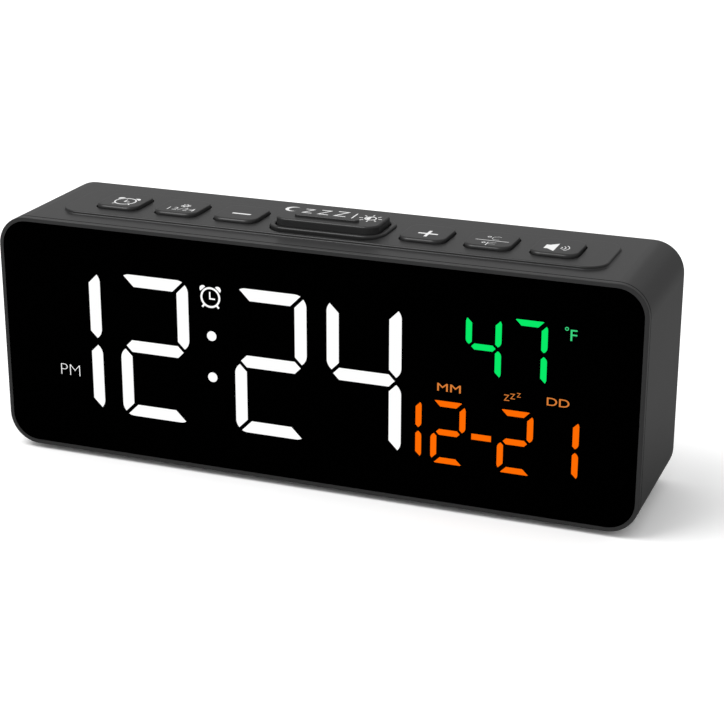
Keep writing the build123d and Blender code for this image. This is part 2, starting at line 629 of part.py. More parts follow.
# Sleeve of the case: walls, key plateau, moat and collar, key openings, posts and pockets
with BuildPart() as housing:
    with BuildSketch(front_plane(BACK_Y)):
        case_outline(0)
    extrude(amount=BACK_Y - SLEEVE_FRONT_Y)
    fillet(housing.faces().sort_by(Axis.Y)[-1].edges(), BACK_EDGE_RADIUS)
    with BuildSketch(level_plane(TOP_Z - WALL / 2)):
        RectangleRounded(PAD_WIDTH, PAD_DEPTH, PAD_CORNER)
    extrude(amount=WALL / 2 + PAD_HEIGHT)
    fillet(housing.faces().sort_by(Axis.Z)[-1].edges(), PAD_EDGE)
    with BuildSketch(level_plane(PAD_TOP_Z)):
        RectangleRounded(COLLAR_WIDTH + 2 * MOAT_WIDTH, COLLAR_DEPTH + 2 * MOAT_WIDTH,
                         COLLAR_CORNER + MOAT_WIDTH)
    extrude(amount=-MOAT_DEPTH, mode=Mode.SUBTRACT)
    with BuildSketch(level_plane(PAD_TOP_Z - MOAT_DEPTH)):
        RectangleRounded(COLLAR_WIDTH, COLLAR_DEPTH, COLLAR_CORNER)
    extrude(amount=MOAT_DEPTH + COLLAR_HEIGHT)
    with BuildSketch(level_plane(PAD_TOP_Z + COLLAR_HEIGHT)):
        RectangleRounded(BAR_WIDTH + 2 * KEY_GAP, BAR_DEPTH + 2 * KEY_GAP, BAR_CORNER + KEY_GAP)
    extrude(amount=-(COLLAR_HEIGHT + PAD_HEIGHT + WALL), mode=Mode.SUBTRACT)
    fillet(housing.faces().sort_by(Axis.Z)[-1].edges(), COLLAR_EDGE)
    with BuildSketch(level_plane(PAD_TOP_Z)):
        with Locations(*[(KEY_PLACES[name], 0) for name in SQUARE_KEYS]):
            RectangleRounded(KEY_WIDTH + 2 * KEY_GAP, KEY_DEPTH + 2 * KEY_GAP, KEY_CORNER + KEY_GAP)
    extrude(amount=-(PAD_HEIGHT + WALL), mode=Mode.SUBTRACT)
    with BuildSketch(front_plane(BACK_Y)):
        case_outline(WALL)
    extrude(amount=BACK_Y - SLEEVE_FRONT_Y, mode=Mode.SUBTRACT)
    with BuildSketch(Plane.XY.offset(KEY_BOARD_TOP_Z)):
        with Locations(*KEY_POSTS):
            Circle(POST_RADIUS)
    extrude(amount=INNER_TOP_Z + WALL / 2 - KEY_BOARD_TOP_Z)
    with BuildSketch(Plane.XY.offset(KEY_BOARD_TOP_Z)):
        with Locations(*KEY_POSTS):
            Circle(SCREW_RADIUS + SCREW_FIT)
    extrude(amount=SCREW_LENGTH - KEY_BOARD_THICKNESS + POST_HOLE_END, mode=Mode.SUBTRACT)
    with BuildSketch(front_plane(COVER_INNER_Y)):
        with Locations(*BOSSES):
            Circle(BOSS_RADIUS)
        for x, z in BOSSES:
            reach = CASE_WIDTH / 2 - WALL / 2 - abs(x)
            with Locations((x + reach / 2 * (1 if x > 0 else -1), z)):
                Rectangle(reach, POST_WEB)
    extrude(amount=BOSS_LENGTH)
    with BuildSketch(front_plane(COVER_INNER_Y)):
        with Locations(*BOSSES):
            Circle(COVER_SCREW_RADIUS + SCREW_FIT)
    extrude(amount=BOSS_LENGTH - POST_HOLE_END, mode=Mode.SUBTRACT)
    with BuildSketch(Plane.XY.offset(FOOT_HEIGHT)):
        with Locations(*FEET):
            Circle(FOOT_RADIUS + FIT_GAP)
    extrude(amount=FOOT_RECESS, mode=Mode.SUBTRACT)
    with Locations(*[(x, SNAP_Y, z) for x in (-SNAP_OFFSET, SNAP_OFFSET)
                     for z in (FOOT_HEIGHT + WALL, INNER_TOP_Z)]):
        Box(SNAP_LENGTH + 4 * FIT_GAP, SNAP_WIDTH + 4 * FIT_GAP, 2 * (SNAP_RISE + 2 * FIT_GAP),
            mode=Mode.SUBTRACT)
save(housing.part, "main_housing")

# Front bezel: rim with a shadow gap behind it, lens pocket, snap skirt and posts for the display board
with BuildPart() as bezel:
    with BuildSketch(front_plane(SLEEVE_FRONT_Y)):
        case_outline(0)
    extrude(amount=BEZEL_LIP)
    fillet(bezel.faces().sort_by(Axis.Y)[0].edges(), BEZEL_EDGE_RADIUS)
    with BuildSketch(front_plane(SLEEVE_FRONT_Y)):
        case_outline(0)
        case_outline(SHADOW_DEPTH, mode=Mode.SUBTRACT)
    extrude(amount=SHADOW_WIDTH, mode=Mode.SUBTRACT)
    with BuildSketch(front_plane(SLEEVE_FRONT_Y)):
        case_outline(WALL + FIT_GAP)
    extrude(amount=-SKIRT_DEPTH)
    with BuildSketch(front_plane(FRONT_Y)):
        case_outline(BEZEL_RIM)
    extrude(amount=-POCKET_DEPTH, mode=Mode.SUBTRACT)
    with BuildSketch(front_plane(FRONT_Y)):
        case_outline(OPENING_INSET)
    extrude(amount=-(BEZEL_LIP + SKIRT_DEPTH), mode=Mode.SUBTRACT)
    with BuildSketch(front_plane(BOARD_FRONT_Y)):
        with Locations(*BOARD_POSTS):
            Circle(POST_RADIUS)
    extrude(amount=BOARD_FRONT_Y - SLEEVE_FRONT_Y)
    with BuildSketch(front_plane(SLEEVE_FRONT_Y)):
        for x, z in BOARD_POSTS:
            reach = CASE_WIDTH / 2 - OPENING_INSET + SKIRT_WALL / 2 - abs(x)
            with Locations((x + reach / 2 * (1 if x > 0 else -1), z)):
                Rectangle(reach, POST_WEB)
    extrude(amount=-SKIRT_DEPTH)
    with BuildSketch(front_plane(BOARD_FRONT_Y)):
        with Locations(*BOARD_POSTS):
            Circle(SCREW_RADIUS + SCREW_FIT)
    extrude(amount=SCREW_LENGTH - BOARD_THICKNESS + POST_HOLE_END, mode=Mode.SUBTRACT)
    with Locations(*[(x, SNAP_Y, z) for x in (-SNAP_OFFSET, SNAP_OFFSET)
                     for z in (FOOT_HEIGHT + WALL + FIT_GAP, INNER_TOP_Z - FIT_GAP)]):
        Box(SNAP_LENGTH, SNAP_WIDTH, 2 * (SNAP_RISE + FIT_GAP))
save(bezel.part, "front_bezel")

# Smoked lens and the tape that holds it on the bezel ledge
with BuildPart() as lens:
    with BuildSketch(front_plane(FRONT_Y + LENS_THICKNESS)):
        case_outline(BEZEL_RIM + FIT_GAP)
    extrude(amount=LENS_THICKNESS)
    chamfer(lens.faces().sort_by(Axis.Y)[0].edges(), LENS_EDGE)
save(lens.part, "display_lens")

with BuildPart() as tape:
    with BuildSketch(front_plane(FRONT_Y + POCKET_DEPTH)):
        case_outline(BEZEL_RIM + FIT_GAP)
        case_outline(OPENING_INSET, mode=Mode.SUBTRACT)
    extrude(amount=TAPE_THICKNESS)
save(tape.part, "lens_tape")

# Reflector block with one cell for each segment, and four pegs into the board
with BuildPart() as reflector:
    with BuildSketch(front_plane(BOARD_FRONT_Y)):
        RectangleRounded(MODULE_WIDTH, MODULE_HEIGHT, MODULE_CORNER)
        with BuildSketch(mode=Mode.SUBTRACT):
            draw_time()
            draw_temperature()
            draw_date()
    extrude(amount=REFLECTOR_DEPTH)
    with BuildSketch(front_plane(BOARD_FRONT_Y)):
        with Locations(*PEGS):
            Circle(PEG_RADIUS)
    extrude(amount=-PEG_LENGTH)
save(reflector.part, "display_reflector")

# Diffusers potted into the front of the cells, one group for each colour
with BuildPart() as time_segments:
    with BuildSketch(front_plane(MODULE_FRONT_Y)):
        draw_time()
    extrude(amount=-DIFFUSER_DEPTH)
save(time_segments.part, "time_segments")

with BuildPart() as temperature_segments:
    with BuildSketch(front_plane(MODULE_FRONT_Y)):
        draw_temperature()
    extrude(amount=-DIFFUSER_DEPTH)
save(temperature_segments.part, "temperature_segments")

with BuildPart() as date_segments:
    with BuildSketch(front_plane(MODULE_FRONT_Y)):
        draw_date()
    extrude(amount=-DIFFUSER_DEPTH)
save(date_segments.part, "date_segments")

# Display board with its lamps, chip, capacitor and screws
with BuildPart() as lamps:
    with BuildSketch(front_plane(BOARD_FRONT_Y)):
        with Locations(*lamp_places()):
            Rectangle(LED_SIZE, LED_SIZE)
    extrude(amount=LED_HEIGHT)
save(lamps.part, "segment_lamps")

with BuildPart() as display_board:
    with BuildSketch(front_plane(BOARD_BACK_Y)):
        RectangleRounded(BOARD_WIDTH, BOARD_HEIGHT, MODULE_CORNER)
        with Locations(*BOARD_POSTS):
            Circle(SCREW_RADIUS + SCREW_CLEAR, mode=Mode.SUBTRACT)
        with Locations(*PEGS):
            Circle(PEG_RADIUS + FIT_GAP, mode=Mode.SUBTRACT)
    extrude(amount=BOARD_THICKNESS)
save(display_board.part, "display_board")

save(make_screws(front_plane(BOARD_BACK_Y), BOARD_POSTS, -1, SCREW_RADIUS, SCREW_LENGTH,
                 SCREW_HEAD_RADIUS, SCREW_HEAD_HEIGHT), "display_screws")

with BuildPart() as chip:
    with BuildSketch(front_plane(BOARD_BACK_Y, CHIP_X, MID_Z + CHIP_Z)):
        Rectangle(CHIP_SIZE, CHIP_SIZE)
    extrude(amount=-CHIP_LEG)
    with BuildSketch(front_plane(BOARD_BACK_Y, CHIP_X, MID_Z + CHIP_Z)):
        Rectangle(CHIP_BODY, CHIP_BODY)
    extrude(amount=-CHIP_HEIGHT)
    chamfer(chip.faces().sort_by(Axis.Y)[-1].edges(), CHIP_LEG)
save(chip.part, "processor_chip")

with BuildPart() as capacitor:
    with BuildSketch(front_plane(BOARD_BACK_Y, CAPACITOR_X, MID_Z + CAPACITOR_Z)):
        Circle(CAPACITOR_RADIUS)
    extrude(amount=-CAPACITOR_HEIGHT)
    fillet(capacitor.faces().sort_by(Axis.Y)[-1].edges(), CAPACITOR_RADIUS / 6)
save(capacitor.part, "power_capacitor")

# Key board, push switches and screws
with BuildPart() as key_board:
    board_depth = KEY_BOARD_BACK_Y - KEY_BOARD_FRONT_Y
    with BuildSketch(level_plane(KEY_BOARD_TOP_Z, 0, KEY_BOARD_FRONT_Y + board_depth / 2)):
        Rectangle(KEY_BOARD_WIDTH, board_depth)
    extrude(amount=-KEY_BOARD_THICKNESS)
    with BuildSketch(Plane.XY.offset(KEY_BOARD_TOP_Z)):
        with Locations(*KEY_POSTS):
            Circle(SCREW_RADIUS + SCREW_CLEAR)
    extrude(amount=-KEY_BOARD_THICKNESS, mode=Mode.SUBTRACT)
save(key_board.part, "key_board")

with BuildPart() as switches:
    with BuildSketch(level_plane(KEY_BOARD_TOP_Z)):
        with Locations(*[(x, 0) for x in KEY_PLACES.values()]):
            Rectangle(SWITCH_SIZE, SWITCH_SIZE)
    extrude(amount=SWITCH_HEIGHT)
    with BuildSketch(level_plane(SWITCH_TOP_Z)):
        with Locations(*[(x, 0) for x in KEY_PLACES.values()]):
            Circle(PLUNGER_RADIUS + PLUNGER_GAP)
    extrude(amount=-WELL_DEPTH, mode=Mode.SUBTRACT)
save(switches.part, "push_switches")

save(make_screws(Plane.XY.offset(KEY_BOARD_TOP_Z - KEY_BOARD_THICKNESS), KEY_POSTS, -1, SCREW_RADIUS,
                 SCREW_LENGTH, SCREW_HEAD_RADIUS, SCREW_HEAD_HEIGHT), "key_board_screws")

# Six square keys and the plungers under all seven keys
for name in SQUARE_KEYS:
    save(make_key(KEY_PLACES[name], KEY_WIDTH, KEY_DEPTH, KEY_CORNER, KEY_TOP_Z, KEY_EDGE), f"{name}_key")
for name, x in KEY_PLACES.items():
    save(make_plunger(x), f"{name}_plunger")

# Tall middle key with a ridge to find it by touch
with BuildPart() as snooze:
    add(make_key(KEY_PLACES["snooze"], BAR_WIDTH, BAR_DEPTH, BAR_CORNER, BAR_TOP_Z, BAR_EDGE))
    with BuildSketch(level_plane(BAR_TOP_Z - RIDGE_RISE)):
        with Locations((RIDGE_SHIFT, RIDGE_OFFSET)):
            SlotOverall(RIDGE_LENGTH, RIDGE_WIDTH)
    extrude(amount=2 * RIDGE_RISE)
    fillet(snooze.faces().sort_by(Axis.Z)[-1].edges(), RIDGE_EDGE)
save(snooze.part, "snooze_key")

# Flat ribbon between the boards, with its two sockets
RIBBON_LEVEL_Z = KEY_BOARD_TOP_Z - KEY_BOARD_THICKNESS - SOCKET_DEPTH / 2
RIBBON_START_Z = KEY_BOARD_TOP_Z - KEY_BOARD_THICKNESS - RIBBON_DROP
with BuildPart() as sockets:
    with Locations((RIBBON_X, BOARD_BACK_Y, RIBBON_START_Z)):
        Box(SOCKET_WIDTH, SOCKET_DEPTH, SOCKET_HEIGHT, align=(Align.CENTER, Align.MIN, Align.MAX))
    with Locations((RIBBON_X, KEY_ROW_Y, KEY_BOARD_TOP_Z - KEY_BOARD_THICKNESS)):
        Box(SOCKET_WIDTH, SOCKET_HEIGHT, SOCKET_DEPTH, align=(Align.CENTER, Align.MIN, Align.MAX))
save(sockets.part, "ribbon_sockets")

with BuildPart() as ribbon:
    with BuildSketch(Plane.YZ.offset(RIBBON_X - RIBBON_WIDTH / 2)):
        with BuildLine():
            FilletPolyline((BOARD_BACK_Y + SOCKET_DEPTH / 2, RIBBON_START_Z),
                           (BOARD_BACK_Y + SOCKET_DEPTH / 2, RIBBON_LEVEL_Z),
                           (KEY_ROW_Y, RIBBON_LEVEL_Z), radius=RIBBON_BEND)
        trace(line_width=RIBBON_THICKNESS)
    extrude(amount=RIBBON_WIDTH)
save(ribbon.part, "ribbon_cable")

# Back cover: plate, cell cup, grille, inlet opening, vents, posts and screw holes
with BuildPart() as cover:
    with BuildSketch(front_plane(COVER_OUTER_Y)):
        case_outline(WALL + COVER_GAP)
    extrude(amount=COVER_THICKNESS)
    chamfer(cover.faces().sort_by(Axis.Y)[-1].edges(), COVER_EDGE)
    with BuildSketch(front_plane(COVER_INNER_Y, CELL_X)):
        Circle(CUP_RADIUS)
    extrude(amount=COVER_INNER_Y - CUP_FRONT_Y)
    with BuildSketch(front_plane(COVER_OUTER_Y, CELL_X)):
        Circle(THROAT_RADIUS)
    extrude(amount=COVER_OUTER_Y - CUP_BOTTOM_Y, mode=Mode.SUBTRACT)
    with BuildSketch(front_plane(COVER_OUTER_Y, CELL_X)):
        Circle(CAP_RADIUS + CAP_GAP)
    extrude(amount=CAP_THICKNESS + CAP_GAP / 2, mode=Mode.SUBTRACT)
    with BuildSketch(front_plane(GROOVE_FRONT_Y, CELL_X)):
        Circle(GROOVE_RADIUS)
    extrude(amount=-GROOVE_DEPTH, mode=Mode.SUBTRACT)
    with BuildSketch(front_plane(COVER_OUTER_Y, CELL_X)):
        Circle(GROOVE_RADIUS)
        Rectangle(2 * GROOVE_RADIUS, LUG_WIDTH + 2 * CAP_GAP, rotation=-LUG_TURN, mode=Mode.INTERSECT)
    extrude(amount=COVER_OUTER_Y - GROOVE_FRONT_Y, mode=Mode.SUBTRACT)
    with BuildSketch(front_plane(CUP_FRONT_Y, CELL_X)):
        Rectangle(CONTACT_TAIL + 2 * CONTACT_GAP, CONTACT_THICKNESS + 2 * CONTACT_GAP)
        with Locations((0, CELL_RADIUS + CONTACT_GAP + CONTACT_THICKNESS / 2)):
            Rectangle(CONTACT_WIDTH + 2 * CONTACT_GAP, CONTACT_THICKNESS + 2 * CONTACT_GAP)
    extrude(amount=-(CELL_BACK_Y - CUP_FRONT_Y), mode=Mode.SUBTRACT)
    with BuildSketch(front_plane(COVER_INNER_Y, SPEAKER_X)):
        Circle(RING_RADIUS + RING_WALL)
        Circle(RING_RADIUS, mode=Mode.SUBTRACT)
        with PolarLocations(CLAMP_DISTANCE, 3, 90):
            Circle(CLAMP_RADIUS)
    extrude(amount=SPEAKER_FLANGE_THICKNESS)
    with BuildSketch(front_plane(FLANGE_FRONT_Y, SPEAKER_X)):
        with PolarLocations(CLAMP_DISTANCE, 3, 90):
            Circle(CLAMP_SCREW_RADIUS + SCREW_FIT)
    extrude(amount=-(SPEAKER_FLANGE_THICKNESS + COVER_THICKNESS / 2 + SCREW_FIT), mode=Mode.SUBTRACT)
    with BuildSketch(front_plane(COVER_OUTER_Y, SPEAKER_X)):
        Circle(GRILLE_HOLE)
        for ring in range(1, GRILLE_RINGS + 1):
            with PolarLocations(GRILLE_PITCH * ring, 6 * ring):
                Circle(GRILLE_HOLE)
    extrude(amount=COVER_THICKNESS, mode=Mode.SUBTRACT)
    with BuildSketch(front_plane(COVER_INNER_Y, 0, POWER_MID_Z)):
        with Locations(*POWER_POSTS):
            Circle(POST_RADIUS)
    extrude(amount=COVER_INNER_Y - POWER_BOARD_BACK_Y)
    with BuildSketch(front_plane(POWER_BOARD_BACK_Y, 0, POWER_MID_Z)):
        with Locations(*POWER_POSTS):
            Circle(SCREW_RADIUS + SCREW_FIT)
    extrude(amount=-(SCREW_LENGTH - POWER_BOARD_THICKNESS + POST_HOLE_END), mode=Mode.SUBTRACT)
    with BuildSketch(front_plane(COVER_OUTER_Y, 0, POWER_MID_Z)):
        SlotOverall(INLET_WIDTH + 2 * INLET_GAP, INLET_HEIGHT + 2 * INLET_GAP)
        with Locations((0, -VENT_DROP)):
            with GridLocations(VENT_PITCH, 0, VENT_COUNT, 1):
                SlotOverall(VENT_HEIGHT, VENT_WIDTH, rotation=90)
    extrude(amount=COVER_THICKNESS, mode=Mode.SUBTRACT)
    with BuildSketch(front_plane(COVER_OUTER_Y)):
        with Locations(*BOSSES):
            Circle(COVER_SCREW_RADIUS + SCREW_CLEAR)
    extrude(amount=COVER_THICKNESS, mode=Mode.SUBTRACT)
    with BuildSketch(front_plane(COVER_OUTER_Y)):
        with Locations(*BOSSES):
            Circle(COVER_SCREW_HEAD + SCREW_CLEAR)
    extrude(amount=COVER_SCREW_HEAD_HEIGHT + FIT_GAP, mode=Mode.SUBTRACT)
save(cover.part, "rear_cover")

save(make_screws(front_plane(COVER_OUTER_Y - COVER_SCREW_HEAD_HEIGHT - FIT_GAP), BOSSES, -1,
                 COVER_SCREW_RADIUS, COVER_SCREW_LENGTH, COVER_SCREW_HEAD, COVER_SCREW_HEAD_HEIGHT),
     "rear_cover_screws")

# Coin cell, its two contacts and the quarter-turn cap
with BuildPart() as cell:
    with BuildSketch(front_plane(CELL_BACK_Y, CELL_X)):
        Circle(CELL_RADIUS)
    extrude(amount=CELL_CAN_HEIGHT)
    fillet(cell.edges(), (CELL_HEIGHT - CELL_CAN_HEIGHT) / 2)
    with BuildSketch(front_plane(CELL_BACK_Y - CELL_CAN_HEIGHT, CELL_X)):
        Circle(CELL_CAP_RADIUS)
    extrude(amount=CELL_HEIGHT - CELL_CAN_HEIGHT)
save(cell.part, "coin_cell")

with BuildPart() as minus_contact:
    with BuildSketch(front_plane(CUP_BOTTOM_Y, CELL_X)):
        Circle(CONTACT_DISC)
    extrude(amount=-CONTACT_THICKNESS)
    with BuildSketch(front_plane(CUP_BOTTOM_Y, CELL_X)):
        Rectangle(CONTACT_TAIL, CONTACT_THICKNESS)
    extrude(amount=CUP_FLOOR + CONTACT_REACH)
save(minus_contact.part, "cell_contact_minus")

with BuildPart() as plus_contact:
    with BuildSketch(front_plane(CELL_BACK_Y, CELL_X, PLUS_LEAD_Z)):
        Rectangle(CONTACT_WIDTH, CONTACT_THICKNESS)
    extrude(amount=CELL_BACK_Y - CUP_FRONT_Y + CONTACT_REACH)
save(plus_contact.part, "cell_contact_plus")

with BuildPart() as cap:
    with BuildSketch(front_plane(COVER_OUTER_Y, CELL_X)):
        Circle(CAP_RADIUS)
    extrude(amount=CAP_THICKNESS)
    with BuildSketch(front_plane(CAP_BACK_Y, CELL_X)):
        Circle(NECK_RADIUS)
    extrude(amount=CAP_NECK)
    with BuildSketch(front_plane(NECK_FRONT_Y, CELL_X)):
        Circle(LUG_RADIUS)
        Rectangle(2 * LUG_RADIUS, LUG_WIDTH, mode=Mode.INTERSECT)
    extrude(amount=-LUG_THICKNESS)
    with BuildSketch(front_plane(COVER_OUTER_Y, CELL_X)):
        SlotOverall(COIN_SLOT_LENGTH, COIN_SLOT_WIDTH)
    extrude(amount=COIN_SLOT_DEPTH, mode=Mode.SUBTRACT)
save(cap.part, "battery_cap")

# Loudspeaker: basket, magnet, cone and the screws that clamp its flange
SPEAKER_PLANE = Plane(origin=(SPEAKER_X, 0, MID_Z))
SPEAKER_AXIS = Axis((SPEAKER_X, 0, MID_Z), (0, 1, 0))
BASKET_RADIUS = SPEAKER_RADIUS - SPEAKER_FLANGE
with BuildPart() as basket:
    with BuildSketch(SPEAKER_PLANE):
        Polygon((0, BASKET_FRONT_Y), (SPEAKER_NECK_RADIUS, BASKET_FRONT_Y),
                (BASKET_RADIUS + SPEAKER_SHEET, FLANGE_FRONT_Y), (SPEAKER_RADIUS, FLANGE_FRONT_Y),
                (SPEAKER_RADIUS, COVER_INNER_Y), (BASKET_RADIUS, COVER_INNER_Y),
                (BASKET_RADIUS, FLANGE_FRONT_Y),
                (SPEAKER_NECK_RADIUS - SPEAKER_SHEET, BASKET_FRONT_Y + SPEAKER_SHEET),
                (0, BASKET_FRONT_Y + SPEAKER_SHEET), align=None)
    revolve(axis=SPEAKER_AXIS)
save(basket.part, "speaker_basket")

with BuildPart() as magnet:
    with BuildSketch(front_plane(BASKET_FRONT_Y, SPEAKER_X)):
        Circle(MAGNET_RADIUS)
    extrude(amount=MAGNET_HEIGHT)
    chamfer(magnet.faces().sort_by(Axis.Y)[0].edges(), CONE_SHEET)
save(magnet.part, "speaker_magnet")

CONE_EDGE_Y = COVER_INNER_Y - RING_GAP
CONE_LOW_Y = CONE_EDGE_Y - CONE_DEPTH
CONE_RADIUS = BASKET_RADIUS - RING_GAP
with BuildPart() as cone:
    with BuildSketch(SPEAKER_PLANE):
        Polygon((0, CONE_LOW_Y + CONE_SHEET), (VOICE_RADIUS, CONE_LOW_Y - CONE_SHEET),
                (CONE_RADIUS, CONE_EDGE_Y - CONE_SHEET), (CONE_RADIUS, CONE_EDGE_Y),
                (VOICE_RADIUS, CONE_LOW_Y), (0, CONE_LOW_Y + 2 * CONE_SHEET), align=None)
    revolve(axis=SPEAKER_AXIS)
save(cone.part, "speaker_cone")

with PolarLocations(CLAMP_DISTANCE, 3, 90) as clamps:
    CLAMPS = [(place.position.X, place.position.Y) for place in clamps.local_locations]
save(make_screws(front_plane(FLANGE_FRONT_Y, SPEAKER_X), CLAMPS, 1, CLAMP_SCREW_RADIUS,
                 SPEAKER_FLANGE_THICKNESS + COVER_THICKNESS / 2, CLAMP_HEAD, CLAMP_HEAD_HEIGHT),
     "speaker_screws")

# Power board with the inlet, the thermometer bead and its screws
with BuildPart() as power_board:
    with BuildSketch(front_plane(POWER_BOARD_BACK_Y, 0, POWER_MID_Z)):
        Rectangle(POWER_BOARD_WIDTH, POWER_BOARD_HEIGHT)
        with Locations(*POWER_POSTS):
            Circle(SCREW_RADIUS + SCREW_CLEAR, mode=Mode.SUBTRACT)
    extrude(amount=POWER_BOARD_THICKNESS)
save(power_board.part, "power_board")

save(make_screws(front_plane(POWER_BOARD_FRONT_Y, 0, POWER_MID_Z), POWER_POSTS, 1, SCREW_RADIUS,
                 SCREW_LENGTH, SCREW_HEAD_RADIUS, SCREW_HEAD_HEIGHT), "power_board_screws")

with BuildPart() as inlet_shell:
    with BuildSketch(front_plane(INLET_MOUTH_Y, 0, POWER_MID_Z)):
        SlotOverall(INLET_WIDTH, INLET_HEIGHT)
        SlotOverall(INLET_WIDTH - 2 * INLET_SHEET, INLET_HEIGHT - 2 * INLET_SHEET, mode=Mode.SUBTRACT)
    extrude(amount=INLET_LENGTH)
save(inlet_shell.part, "power_inlet_shell")

with BuildPart() as inlet_tongue:
    with BuildSketch(front_plane(POWER_BOARD_BACK_Y + TONGUE_BASE, 0, POWER_MID_Z)):
        SlotOverall(INLET_WIDTH - 2 * INLET_SHEET - FIT_GAP, INLET_HEIGHT - 2 * INLET_SHEET - FIT_GAP)
    extrude(amount=TONGUE_BASE)
    with BuildSketch(front_plane(INLET_MOUTH_Y - TONGUE_SETBACK, 0, POWER_MID_Z)):
        Rectangle(TONGUE_WIDTH, TONGUE_THICKNESS)
    extrude(amount=INLET_LENGTH - TONGUE_SETBACK - TONGUE_BASE / 2)
save(inlet_tongue.part, "power_inlet_tongue")

with BuildPart() as bead:
    with BuildSketch(front_plane(POWER_BOARD_BACK_Y, 0, POWER_MID_Z - VENT_DROP)):
        with Locations((-BEAD_LEAD_SPACE / 2, 0), (BEAD_LEAD_SPACE / 2, 0)):
            Circle(BEAD_LEAD)
    extrude(amount=-BEAD_REACH)
    with Locations((0, POWER_BOARD_BACK_Y + BEAD_REACH, POWER_MID_Z - VENT_DROP)):
        Sphere(BEAD_RADIUS)
save(bead.part, "temperature_sensor")

# Leads from the back pieces to sockets on the display board
LEAD_ENDS = [(POWER_LEAD_X, POWER_LEAD_Z + LEAD_STEP), (SPEAKER_X, SPEAKER_LEAD_Z - LEAD_STEP),
             (CELL_X, MID_Z - LEAD_STEP), (CELL_X, PLUS_LEAD_Z - LEAD_STEP)]
with BuildPart() as lead_sockets:
    with BuildSketch(front_plane(BOARD_BACK_Y, 0, 0)):
        with Locations(*LEAD_ENDS):
            Rectangle(LEAD_SOCKET, LEAD_SOCKET)
    extrude(amount=-LEAD_SOCKET_DEPTH)
    with BuildSketch(front_plane(POWER_BOARD_FRONT_Y, POWER_LEAD_X, POWER_LEAD_Z)):
        Rectangle(LEAD_SOCKET, LEAD_SOCKET)
    extrude(amount=LEAD_SOCKET_DEPTH)
save(lead_sockets.part, "lead_sockets")

save(make_lead(POWER_LEAD_X, POWER_BOARD_FRONT_Y - LEAD_SOCKET_DEPTH, POWER_LEAD_Z, LEAD_ENDS[0][1]),
     "power_lead")
save(make_lead(SPEAKER_X, BASKET_FRONT_Y + CONE_SHEET, SPEAKER_LEAD_Z, LEAD_ENDS[1][1]), "speaker_lead")
with BuildPart() as cell_leads:
    add(make_lead(CELL_X, CUP_FRONT_Y - CONTACT_REACH, MID_Z, LEAD_ENDS[2][1]))
    add(make_lead(CELL_X, CUP_FRONT_Y - CONTACT_REACH, PLUS_LEAD_Z, LEAD_ENDS[3][1]))
save(cell_leads.part, "cell_leads")

# Rubber feet in the pockets under the case
with BuildPart() as feet:
    with BuildSketch(Plane.XY):
        with Locations(*FEET):
            Circle(FOOT_RADIUS)
    extrude(amount=FOOT_HEIGHT + FOOT_RECESS)
    fillet(feet.edges().group_by(Axis.Z)[0], FOOT_HEIGHT / 4)
save(feet.part, "rubber_feet")
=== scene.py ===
"""Dresses a packed bedside clock: finishes, lit display, key marks, inlet contacts and the studio."""

import logging
import math
from dataclasses import dataclass, field
from enum import Enum

import bmesh
import bpy
from mathutils import Matrix, Vector
from mathutils.geometry import tessellate_polygon


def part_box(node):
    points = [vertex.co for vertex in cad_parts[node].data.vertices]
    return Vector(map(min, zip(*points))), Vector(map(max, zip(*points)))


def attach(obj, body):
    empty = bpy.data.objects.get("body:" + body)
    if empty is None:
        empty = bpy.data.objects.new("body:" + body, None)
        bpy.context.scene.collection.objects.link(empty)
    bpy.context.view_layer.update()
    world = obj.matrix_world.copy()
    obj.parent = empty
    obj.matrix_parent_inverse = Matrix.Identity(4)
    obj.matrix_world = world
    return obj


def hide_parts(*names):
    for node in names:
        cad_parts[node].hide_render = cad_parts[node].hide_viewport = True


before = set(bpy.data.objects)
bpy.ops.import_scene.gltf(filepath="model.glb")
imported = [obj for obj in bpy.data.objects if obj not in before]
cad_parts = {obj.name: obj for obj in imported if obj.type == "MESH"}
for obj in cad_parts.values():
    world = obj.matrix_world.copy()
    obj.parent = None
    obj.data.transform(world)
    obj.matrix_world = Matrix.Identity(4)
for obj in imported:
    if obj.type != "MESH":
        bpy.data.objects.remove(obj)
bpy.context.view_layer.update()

LOG = logging.getLogger("clock")
MM = 0.001
WELD_DISTANCE = 1e-7
QUARTER_STEPS = 12
KEY_TOP_Z = 71.1
KEY_ROW_Y = -1.0
FRONT_MIDDLE_Z = 35.4

Point = tuple[float, float]
Box = tuple[Point, Point]
Triple = tuple[float, float, float]
Colour = Triple
Signs = tuple[tuple[str, float], ...]
Flat = tuple[list[Point], list[tuple[int, ...]]]


class Facing(Enum):
    """Which way a flat mark looks: out of the display or up from a key."""

    FRONT = "front"
    TOP = "top"

    def place(self, u: float, v: float, level: float) -> Vector:
        """Puts a drawn point into the part's frame.

        Args:
            u: Distance to the right in millimetres.
            v: Distance up (front) or back (top) in millimetres.
            level: Y of a front mark or Z of a top mark in millimetres.

        Returns:
            The point in metres.
        """
        if self is Facing.FRONT:
            return Vector((u, level, v)) * MM
        return Vector((u, v, level)) * MM

    def rise(self, height: float) -> Vector:
        """Gives the step from a mark's base to its face, for a height in millimetres."""
        if self is Facing.FRONT:
            return Vector((0.0, -height, 0.0)) * MM
        return Vector((0.0, 0.0, height)) * MM


class Glow(Enum):
    """Light colours of the display, each with the record's slot that it belongs to."""

    WHITE = ("diffuser_white", (1.0, 1.0, 1.0))
    GREEN = ("diffuser_green", (0.0023, 0.823, 0.137))
    ORANGE = ("diffuser_orange", (0.991, 0.148, 0.0006))
    MINT = ("diffuser_green", (0.045, 0.645, 0.209))
    AMBER = ("diffuser_orange", (0.700, 0.210, 0.040))

    @property
    def slot(self) -> str:
        """Names the material slot in the record."""
        return self.value[0]

    @property
    def colour(self) -> Colour:
        """Gives the light's linear colour."""
        return self.value[1]


